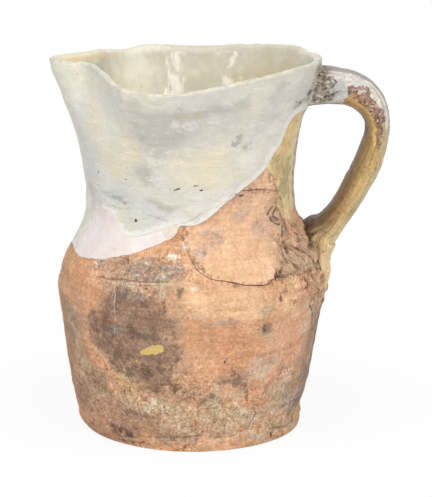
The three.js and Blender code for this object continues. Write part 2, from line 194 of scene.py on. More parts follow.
def noise(points, size, seed=0):
    """Smooth noise from about -1 to 1, with features of one size"""
    places = points / size + 1000.37
    cells = np.floor(places).astype(np.int64)
    share = places - cells
    share = share**3 * (share * (share * 6 - 15) + 10)
    total = 0
    for corner in np.ndindex(2, 2, 2):
        weight = np.prod(np.where(corner, share, 1 - share), axis=-1)
        total = total + weight * lattice_values(cells + corner, seed)
    return total * 1.5


def layered_noise(points, size, octaves=3, seed=0):
    """Noise with finer and weaker layers on top"""
    total = 0
    for octave in range(octaves):
        total = total + noise(points, size / 2**octave, seed + octave) / 2**octave
    return total


# Vessel wall, by angle in degrees from the handle and by height

course_heights = (0.0, shoulder_height, neck_height, rim_height)


def height_of(course):
    """A course runs from 0 at the foot over 1 at the shoulder and 2 at the neck to 3 at the rim"""
    i = min(int(course), 2)
    return mix(course_heights[i], course_heights[i + 1], course - i)


def profile_stations():
    shoulder_turn = ((0.19, 0.09), (0.35, 0.27), (0.5, 0.57), (0.66, 0.83), (0.82, 0.965))
    flare = ((0.17, 0.06), (0.36, 0.19), (0.55, 0.38), (0.72, 0.61), (0.86, 0.83))
    return (
        [(0, foot_radius), (height_of(0.5), mix(foot_radius, shoulder_radius, 0.53))]
        + [(shoulder_height, shoulder_radius)]
        + [(height_of(1 + h), mix(shoulder_radius, neck_radius, r)) for h, r in shoulder_turn]
        + [(neck_height, neck_radius)]
        + [(height_of(2 + h), mix(neck_radius, rim_radius, r)) for h, r in flare]
        + [(rim_height, rim_radius)]
    )


radius_at = curve_through(profile_stations())
axis_drift = curve_through([
    (0, 0), (height_of(0.5), 0.2 * axis_wander), (height_of(1.3), axis_wander),
    (height_of(2), 0.3 * axis_wander), (height_of(2.5), -0.7 * axis_wander),
    (rim_height, -0.75 * axis_wander),
])
# How the rim rises and dips, as (degrees from the handle, share of the rim's wave)
rim_course = curve_through([
    (-180, 0.08), (-163, 0.02), (-150, -0.24), (-122, -0.62), (-106, -0.93), (-95, -0.95),
    (-80, -0.48), (-58, 0.08), (-34, 0.38), (0, 0.16), (16, -0.06), (25.5, -0.24), (28.5, -0.05),
    (35, 0), (46, -0.20), (62, -0.42), (85, -0.82), (106, -0.64), (112, -0.66), (118, -0.85),
    (125, -0.76), (132, -0.52), (141, -0.24), (149, 0), (160, 0.13), (180, 0.08),
])


def spout_plan(throat_flare, insets):
    """The rim seen from above on one side of the spout, from the tip round to the circle.
    An inset is (share of the way round, share of the hollow's depth)."""

    def on_rim(share, inset):
        turn = math.radians(share * spout_spread)
        return (rim_radius - inset) * math.cos(turn), (rim_radius - inset) * math.sin(turn)

    return by_length(smooth_line([
        (spout_reach, 0),
        (spout_reach - 0.2 * spout_half_width, 0.6 * spout_half_width),
        (spout_reach - 0.7 * spout_half_width, spout_half_width),
        (spout_reach - spout_throat_length, spout_half_width + throat_flare),
        *(on_rim(share, depth * spout_hollow_depth) for share, depth in insets),
    ]))[0]


near_insets = ((0.5, 1), (0.76, 0.62), (1, 0))
far_insets = ((0.5, 0.85), (0.68, 0.52), (0.84, 0.17), (0.93, 0.03), (1, 0))
near_spout_side = spout_plan(spout_near_flare, near_insets)
far_spout_side = spout_plan(spout_far_flare, far_insets)


def wrapped(angle):
    """The angle from -180 to 180 degrees"""
    return (angle + 180) % 360 - 180


def wall_point(angle, height):
    """Places on the smooth outside of the wall"""
    angle, height = np.broadcast_arrays(angle, height)
    radius, turn = radius_at(height), np.radians(angle)
    x, y = radius * np.cos(turn), radius * np.sin(turn)
    from_spout = angle % 360 - 180
    pinch = ease(height, rim_height - spout_depth, rim_height - 0.003)
    pinch = np.where(np.abs(from_spout) < spout_spread, pinch, 0)
    share = np.abs(from_spout) / spout_spread
    far = from_spout < 0
    plan = np.where(far[..., None], far_spout_side(share), near_spout_side(share))
    plan = plan * (radius / rim_radius)[..., None]
    x = mix(x, -plan[..., 0], pinch)
    y = mix(y, np.where(far, 1, -1) * plan[..., 1], pinch)
    rise = rim_wave * rim_course(wrapped(angle)) * ease(height, neck_height, rim_height)
    pressed = rim_inset_by_handle * ease(height, neck_height, rim_height) * ease(np.cos(turn), 0.94, 1)
    return np.stack([x + axis_drift(height) - pressed, y, height + rise], axis=-1)


def unit(vectors):
    return vectors / np.maximum(np.linalg.norm(vectors, axis=-1, keepdims=True), 1e-12)


def wall_normal(angle, height):
    small = 0.0005
    low = np.minimum(height, rim_height - small) - small
    around = wall_point(angle + 0.5, height) - wall_point(angle - 0.5, height)
    up = wall_point(angle, low + 2 * small) - wall_point(angle, low)
    return unit(np.cross(around, up))


def thickness_at(height):
    up_to = np.maximum(height, shoulder_height)
    lower = mix(body_wall, neck_wall, ease(up_to, shoulder_height, neck_height))
    upper = mix(neck_wall, rim_wall, (up_to - neck_height) / (rim_height - neck_height))
    return np.where(up_to < neck_height, lower, upper)


def evenly(low, high, step):
    return np.linspace(low, high, max(2, round(abs(high - low) / step) + 1))


def vessel_rows():
    """Rings up the outside, over the lip, down the inside and over the floor.
    Each is (ring of points, height, 0 outside to 1 inside)."""
    angles = np.arange(wall_columns) * 360 / wall_columns
    turn = np.radians(angles)
    compass = np.stack([np.cos(turn), np.sin(turn), 0 * turn], axis=-1)
    upward = np.array([0, 0, 1.0])
    rows = []
    worn = worn_foot_depth * ease(np.cos(np.radians(angles - worn_foot_side)), 0, 1)[:, None]
    for share in (0.3, 0.6, 0.85, 0.97):
        rows.append((compass * (foot_radius - foot_rounding - worn_foot_depth) * share, 0, 0))
    for degrees in (0, 20, 40, 60, 80):
        height = foot_rounding * (1 - math.cos(math.radians(degrees)))
        inset = foot_rounding * (1 - math.sin(math.radians(degrees)))
        worn_here = worn * (1 - height / worn_foot_height) ** 2
        rows.append((compass * (radius_at(height) - inset - worn_here) + upward * height, height, 0))

    groove_course = ((-0.0012, 0), (0.0008, 1), (0.0035, 0.6), (0.012, 0))
    band_inset = curve_through([(0, 0), *((foot_band_height + up, depth) for up, depth in groove_course)])
    by_handle = ease(np.cos(np.radians(angles - foot_groove_side)), 0.2, 0.95)
    groove = mix(foot_band_groove, foot_groove_by_handle, by_handle)[:, None]
    wall_top = rim_height - lip_rise
    wall_foot = height_of(0.26)
    for height in evenly(foot_rounding, wall_top, outer_row):
        inset = groove * band_inset(height) if height < wall_foot else 0
        inset = inset + worn * max(0, 1 - height / worn_foot_height) ** 2
        rows.append((wall_point(angles, height) - compass * inset, height, 0))

    top = wall_point(angles, wall_top)
    normal = wall_normal(angles, wall_top)
    over = unit(wall_point(angles, rim_height) - top)
    for degrees in (22, 45, 67, 90, 113, 135, 158):
        turn = math.radians(degrees)
        point = top + normal * rim_wall / 2 * (math.cos(turn) - 1) + over * lip_rise * math.sin(turn)
        point = point - upward * lip_drop * (1 - math.cos(turn)) / 2
        rows.append((point, rim_height, degrees / 180))

    for height in evenly(wall_top - lip_drop - 0.0007, wall_foot, inner_row):
        inward = wall_normal(angles, height) * thickness_at(height)
        rows.append((wall_point(angles, height) - inward, height, 1))

    lowest = rows[-1][0] * (1, 1, 0)
    outward = unit(lowest)
    corner = np.linalg.norm(lowest, axis=-1, keepdims=True) - 0.001
    for degrees in (75, 60, 45, 30, 15, 0):
        turn = math.radians(degrees)
        height = floor_thickness + floor_fillet * (1 - math.cos(turn))
        ring = outward * (corner - floor_fillet * (1 - math.sin(turn))) + upward * height
        rows.append((ring, height, 1))
    edge = rows[-1][0]
    for share in np.arange(0.9, 0.05, -0.1):
        rows.append((edge * (share, share, 1), floor_thickness, 1))
    return angles, rows


# Meshes


def grid_normals(grid):
    """Outward directions of a grid of rings"""
    around = np.roll(grid, -1, axis=1) - np.roll(grid, 1, axis=1)
    return unit(np.cross(around, np.gradient(grid, axis=0)))


def make_object(name, points, faces):
    mesh = bpy.data.meshes.new(name)
    mesh.from_pydata(np.asarray(points).tolist(), [], faces)
    thing = bpy.data.objects.new(name, mesh)
    bpy.context.scene.collection.objects.link(thing)
    return thing


def solid_from_grid(name, grid, first_pole, last_pole):
    """A closed mesh from rings of points, with a pole at each end"""
    rows, columns = grid.shape[:2]
    index = 1 + np.arange(rows * columns).reshape(rows, columns)
    ahead = np.roll(index, -1, axis=1)
    quads = np.stack([index[:-1], ahead[:-1], ahead[1:], index[1:]], axis=-1).reshape(-1, 4)
    last = rows * columns + 1
    below = np.stack([0 * ahead[0], ahead[0], index[0]], axis=-1)
    above = np.stack([0 * ahead[-1] + last, index[-1], ahead[-1]], axis=-1)
    points = np.concatenate([[first_pole], grid.reshape(-1, 3), [last_pole]])
    return make_object(name, points, quads.tolist() + below.tolist() + above.tolist())


def carve(target, tool, operation="DIFFERENCE"):
    """Cuts a tool out of the target, or joins it on"""
    modifier = target.modifiers.new("carve", "BOOLEAN")
    modifier.operation = operation
    modifier.solver = "MANIFOLD"
    modifier.object = tool
    bpy.context.view_layer.update()
    evaluated = target.evaluated_get(bpy.context.evaluated_depsgraph_get())
    mesh = bpy.data.meshes.new_from_object(evaluated)
    target.modifiers.clear()
    target.data = mesh


def discard(thing):
    bpy.data.objects.remove(thing)


def mesh_points(thing):
    values = np.empty(len(thing.data.vertices) * 3, np.float32)
    thing.data.vertices.foreach_get("co", values)
    return values.reshape(-1, 3).astype(float)


def move_points(thing, points):
    thing.data.vertices.foreach_set("co", np.asarray(points, np.float32).ravel())
    thing.data.update()


def face_outward(thing):
    """Turns the faces of a closed mesh over if they look inward"""
    thing.data.calc_loop_triangles()
    triangles = np.empty(len(thing.data.loop_triangles) * 3, np.int32)
    thing.data.loop_triangles.foreach_get("vertices", triangles)
    a, b, c = mesh_points(thing)[triangles.reshape(-1, 3).T]
    if np.einsum("ij,ij->", a, np.cross(b, c)) < 0:
        thing.data.flip_normals()


def loose_parts(thing):
    """Splits a mesh into its separate bodies"""
    bpy.ops.object.select_all(action="DESELECT")
    bpy.context.view_layer.objects.active = thing
    thing.select_set(True)
    bpy.ops.object.mode_set(mode="EDIT")
    bpy.ops.mesh.separate(type="LOOSE")
    bpy.ops.object.mode_set(mode="OBJECT")
    return list(bpy.context.selected_objects)


def kd_tree(points):
    tree = KDTree(len(points))
    for i, point in enumerate(points):
        tree.insert(point, i)
    tree.balance()
    return tree


def distance_to(points, line):
    """How far each point lies from a line of closely spaced points"""
    tree = kd_tree(line)
    return np.array([tree.find(point)[2] for point in points])


class Surface:
    """A grid of points with what is known at each of them, to look up from a cut piece"""

    def __init__(self, grid, **known):
        self.points = grid.reshape(-1, 3)
        self.normals = grid_normals(grid).reshape(-1, 3)
        self.known = {key: values.ravel() for key, values in known.items()}
        self.tree = kd_tree(self.points)

    def look_up(self, thing):
        points = mesh_points(thing)
        nearest = np.array([self.tree.find(point)[1] for point in points])
        known = {key: values[nearest] for key, values in self.known.items()}
        return points, self.normals[nearest], known


# Joint lines on the wall, as (degrees from the handle, course), and their open widths


def course_on(points, angle):
    """The course of a line at an angle, to start another line there"""
    line = smooth_line([(a, height_of(c) * 1000) for a, c in points])
    height = np.interp(angle, line[:, 0], line[:, 1]) / 1000
    course = int(np.searchsorted(course_heights, height)) - 1
    low, high = course_heights[course], course_heights[course + 1]
    return course + (height - low) / (high - low)


plaster_edge_front = [
    (-170, 1.445), (-166.5, 1.59), (-161, 1.665), (-156, 1.73), (-151.5, 1.865), (-146, 1.915),
    (-139, 1.905), (-133.5, 1.85), (-130.5, 1.755), (-125, 1.708), (-116.5, 1.727), (-108, 1.781),
    (-100, 1.836), (-87, 1.853), (-81, 1.906), (-75, 1.99), (-65.5, 2.087), (-53, 2.208),
    (-47, 2.274), (-43, 2.37), (-37, 2.456), (-31, 2.62), (-25, 2.65), (0, 2.625), (20, 2.63),
    (27, 2.56),
]
plaster_edge_back = [
    (27, 2.56), (33, 2.38), (45, 2.14), (75, 1.94), (110, 1.8), (150, 1.625), (180, 1.47),
    (190, 1.445),
]
pink_lower_edge = [
    (-170, 1.445), (-160, 1.425), (-148, 1.43), (-137, 1.461), (-125.5, 1.516), (-115, 1.586),
    (-105, 1.677), (-97.5, 1.745), (-95, course_on(plaster_edge_front, -95)),
]
cream_edge = [
    (-104.5, course_on(plaster_edge_front, -104.5)),
    (-100.5, course_on(pink_lower_edge, -100.5)),
]
shoulder_crack = [
    (-92.5, course_on(plaster_edge_front, -92.5)), (-92.3, 1.71), (-90, 1.61), (-86, 1.453),
    (-80, 1.36), (-74, 1.328), (-64, 1.281), (-55.5, 1.266), (-47, 1.3), (-27, 1.266),
    (-14, 1.225), (-7.5, 1.08), (0, 0.93), (9, 0.98), (21, 1.22), (33, 1.43), (42, 1.7),
    (45, course_on(plaster_edge_back, 45)),
]
neck_crack_end = (-34, 2.075)
glaze_edge = [
    (-47, course_on(shoulder_crack, -47)), (-44, 1.384), (-38, 1.52), (-32.5, 1.645),
    (-30, 1.78), (-33, 1.95), neck_crack_end, (-39.5, 2.18),
    (-46.5, course_on(plaster_edge_front, -46.5)),
]
neck_crack = [neck_crack_end, (-50, 2.113), (-61.5, course_on(plaster_edge_front, -61.5))]
above_rim = 3.4
seam_by_handle = [(27, 2.56), (27, above_rim)]
seam_by_spout = [(116, course_on(plaster_edge_back, 116)), (116, above_rim)]

# Open widths along a line, as (share of the length, width)
glued = [(0, plaster_gap), (1, plaster_gap)]
shoulder_crack_widths = [
    (0, hairline_gap), (0.08, 0.00035), (0.16, 0.00045), (0.24, 0.0007), (0.3, 0.0006),
    (0.34, hairline_gap), (1, hairline_gap),
]
glaze_edge_widths = [(0, 0.0034), (0.05, 0.0018), (0.075, hairline_gap), (1, hairline_gap)]
neck_crack_widths = [(0, hairline_gap), (0.35, 0.0003), (0.8, 0.0006), (1, 0.0002)]
joint_lines = [
    (plaster_edge_front, glued),
    (plaster_edge_back, glued),
    (pink_lower_edge, glued),
    (cream_edge, glued),
    (shoulder_crack, shoulder_crack_widths),
    (glaze_edge, glaze_edge_widths),
    (neck_crack, neck_crack_widths),
    (seam_by_handle, glued),
    (seam_by_spout, glued),
]


def joint_places(points, step=0.0012):
    """A joint line as arrays of angles, heights and shares of its length"""
    line = smooth_line([(angle, height_of(course) * 1000) for angle, course in points])
    point_at, length = by_length(line)
    share = np.linspace(0, 1, max(8, int(length / 1000 / step)))
    angle, height = point_at(share).T
    return angle, height / 1000, share


def on_cylinder(angle, height, radius):
    turn = np.radians(angle)
    return np.stack([radius * np.cos(turn), radius * np.sin(turn), height + 0 * turn], axis=-1)


def wander(points):
    """How far a broken edge strays, the same for all lines that meet in one place"""
    sizes = ((0.009, 0.0004), (0.003, 0.0002), (0.0014, 0.0001))
    shift = 0
    for layer, (size, far) in enumerate(sizes):
        stray = [noise(points, size, 40 + 3 * layer + axis) for axis in range(3)]
        shift = shift + far * np.stack(stray, axis=-1)
    return shift


def joint_sheet(points, widths):
    """A thin sheet through the wall along a joint line"""
    angle, height, share = joint_places(points)
    line = on_cylinder(angle, height, neck_radius)
    strayed = line + wander(line)
    around = unit(np.stack([-line[:, 1], line[:, 0], 0 * share], -1))
    angle = angle + np.degrees(around * (strayed - line)).sum(-1) / neck_radius
    height = strayed[:, 2]
    line = on_cylinder(angle, height, neck_radius)
    along = unit(np.gradient(line, axis=0))
    outward = on_cylinder(angle, 0, 1)
    places, values = np.array(widths).T
    across = unit(np.cross(outward, along)) * (np.interp(share, places, values) / 2)[:, None]
    near = on_cylinder(angle, height, neck_radius / 2)
    far = on_cylinder(angle, height, rim_radius + shoulder_radius / 4)
    run_on = 0.0007
    for end, sign in ((0, -1), (-1, 1)):
        near[end] += along[end] * sign * run_on
        far[end] += along[end] * sign * run_on
    return thin_solid(near, far, across)


def thin_solid(near, far, across):
    """A closed sheet between two edges, thick by `across` to both sides"""
    corners = np.stack([near - across, far - across, near + across, far + across], axis=1)
    faces = []
    for i in range(len(near) - 1):
        a, b, c, d, e, f, g, h = range(4 * i, 4 * i + 8)
        faces += [(a, f, b), (a, e, f), (c, d, h), (c, h, g), (b, f, h), (b, h, d), (a, g, e), (a, c, g)]
    last = 4 * len(near) - 4
    faces += [(0, 1, 3), (0, 3, 2), (last, last + 3, last + 1), (last, last + 2, last + 3)]
    sheet = make_object("sheet", corners.reshape(-1, 3), faces)
    face_outward(sheet)
    return sheet


# Handle


def handle_path():
    """Middle line of the strap, from inside the neck wall to the root"""
    top_height = rim_height - handle_top_drop
    top_wall = float(radius_at(top_height))
    root_wall = float(radius_at(handle_root_height)) - handle_root_sink

    def place(wall, out, down):
        return mix(wall, handle_reach, out), 0, mix(top_height, handle_root_height, down)

    upper = (0.34, 0), (0.6, 0.017), (0.89, 0.085), (1, 0.193), (0.875, 0.35), (0.625, 0.5)
    lower = (0.435, 0.604), (0.235, 0.681), (0.08, 0.727), (0.025, 0.825), (0.01, 0.91), (0, 1)
    return by_length(smooth_line([
        (top_wall - neck_wall, 0, top_height),
        *(place(top_wall, *shares) for shares in upper),
        *(place(root_wall, *shares) for shares in lower),
    ]))


handle_point, handle_length = handle_path()


def strap_course(*stretches):
    """A size of the strap along its length. A stretch is a full size, followed by pairs of
    (share of the length, part of that full size)."""
    return curve_through([(share, part * size) for size, *places in stretches for share, part in places])


strap_half_thickness = strap_course(
    (handle_top_thickness, (0, 0.53), (0.105, 0.46), (0.16, 0.44)),
    (handle_thickness, (0.25, 0.58), (0.325, 0.5), (0.446, 0.54), (0.576, 0.55), (0.667, 0.53)),
    (handle_root_thickness, (0.74, 0.4), (0.79, 0.56), (0.867, 0.445), (0.933, 0.46), (1, 0.3)),
)
strap_half_width = strap_course(
    (handle_width, (0, 0.62), (0.15, 0.53), (0.4, 0.5), (0.72, 0.5)),
    (handle_root_width, (0.88, 0.45), (0.95, 0.5), (1, 0.4)),
)


def strap_frame(share):
    """Middle, direction along and direction out at a share of the strap's length"""
    small = 0.01
    along = unit(handle_point(share + small) - handle_point(share - small))
    outward = np.stack([-along[..., 2], 0 * share, along[..., 0]], axis=-1)
    return handle_point(share), along, outward


def bulge(value, power):
    return np.sign(value) * np.abs(value) ** power


def strap_grid():
    """The strap's surface: rings along it, round from its outer face. Also share and turn.
    A section is an oval with flattened faces; where the strap is free, its sides run to a ridge."""
    share = np.linspace(0, 1, strap_rings)[:, None]
    turn = (np.arange(strap_sides) * 360 / strap_sides)[None, :]
    middle, _, outward = strap_frame(share[:, 0])
    free = ease(share, 0.2, 0.36) * (1 - ease(share, 0.76, 0.88))
    out = bulge(np.cos(np.radians(turn)), mix(0.75, 1.25, free)) * strap_half_thickness(share)
    side = bulge(np.sin(np.radians(turn)), mix(0.75, 0.85, free)) * strap_half_width(share)
    grid = middle[:, None] + outward[:, None] * out[..., None]
    grid[..., 1] += side
    return grid, share + 0 * turn, turn + 0 * share


def strap_relief(grid, share, turn):
    """Ridges and hollows of the worn strap, along its surface directions"""
    fold = np.abs(wrapped(turn))
    free = ease(share, 0.24, 0.38) * (1 - ease(share, 0.76, 0.9))
    ridge = hump(fold, 88, 9)
    hollow = hump(fold, 118, 20)
    relief = free * (0.0006 * ridge - 0.0009 * hollow)
    # Two shallow tool lines run over the top, along its outer edge
    wavering = fold + 5 * noise(grid, 0.03, 61)
    lines = hump(wavering, 34, 4) + hump(wavering, 52, 4)
    relief -= 0.0004 * lines * (1 - ease(share, 0.28, 0.4)) * ease(share, 0.08, 0.14)
    relief += 0.0003 * layered_noise(grid, 0.022, 3, 62) + 0.0001 * layered_noise(grid, 0.003, 2, 65)
    root = ease(share, 0.78, 0.88)
    return relief + root * 0.0007 * layered_noise(grid, 0.006, 3, 68)


# The joint's course, as (share of the strap's length, half thicknesses out from its middle)
scarf_line = (
    (0.12, -1.5), (0.135, -0.6), (0.155, 0), (0.19, 0.3),
    (0.25, 0.46), (0.32, 0.6), (0.385, 0.85), (0.44, 1.5),
)


def scarf_sheet():
    """The joint between the plaster at the top and the strap"""
    share, across = np.array(scarf_line).T
    middle, _, outward = strap_frame(share)
    spots = middle + outward * (across * strap_half_thickness(share))[:, None]
    line = by_length(smooth_line(spots))[0](np.linspace(0, 1, 60))
    along = unit(np.gradient(line, axis=0))
    lean = np.array([0, handle_root_width, 0])
    ripple = 0.0012 * np.stack([noise(line, 0.008, 71), 0 * line[:, 0], noise(line, 0.008, 72)], -1)
    across = unit(np.cross(lean, along)) * plaster_gap / 2
    return thin_solid(line + ripple - lean, line + ripple + lean, across)


# Marks on the surfaces

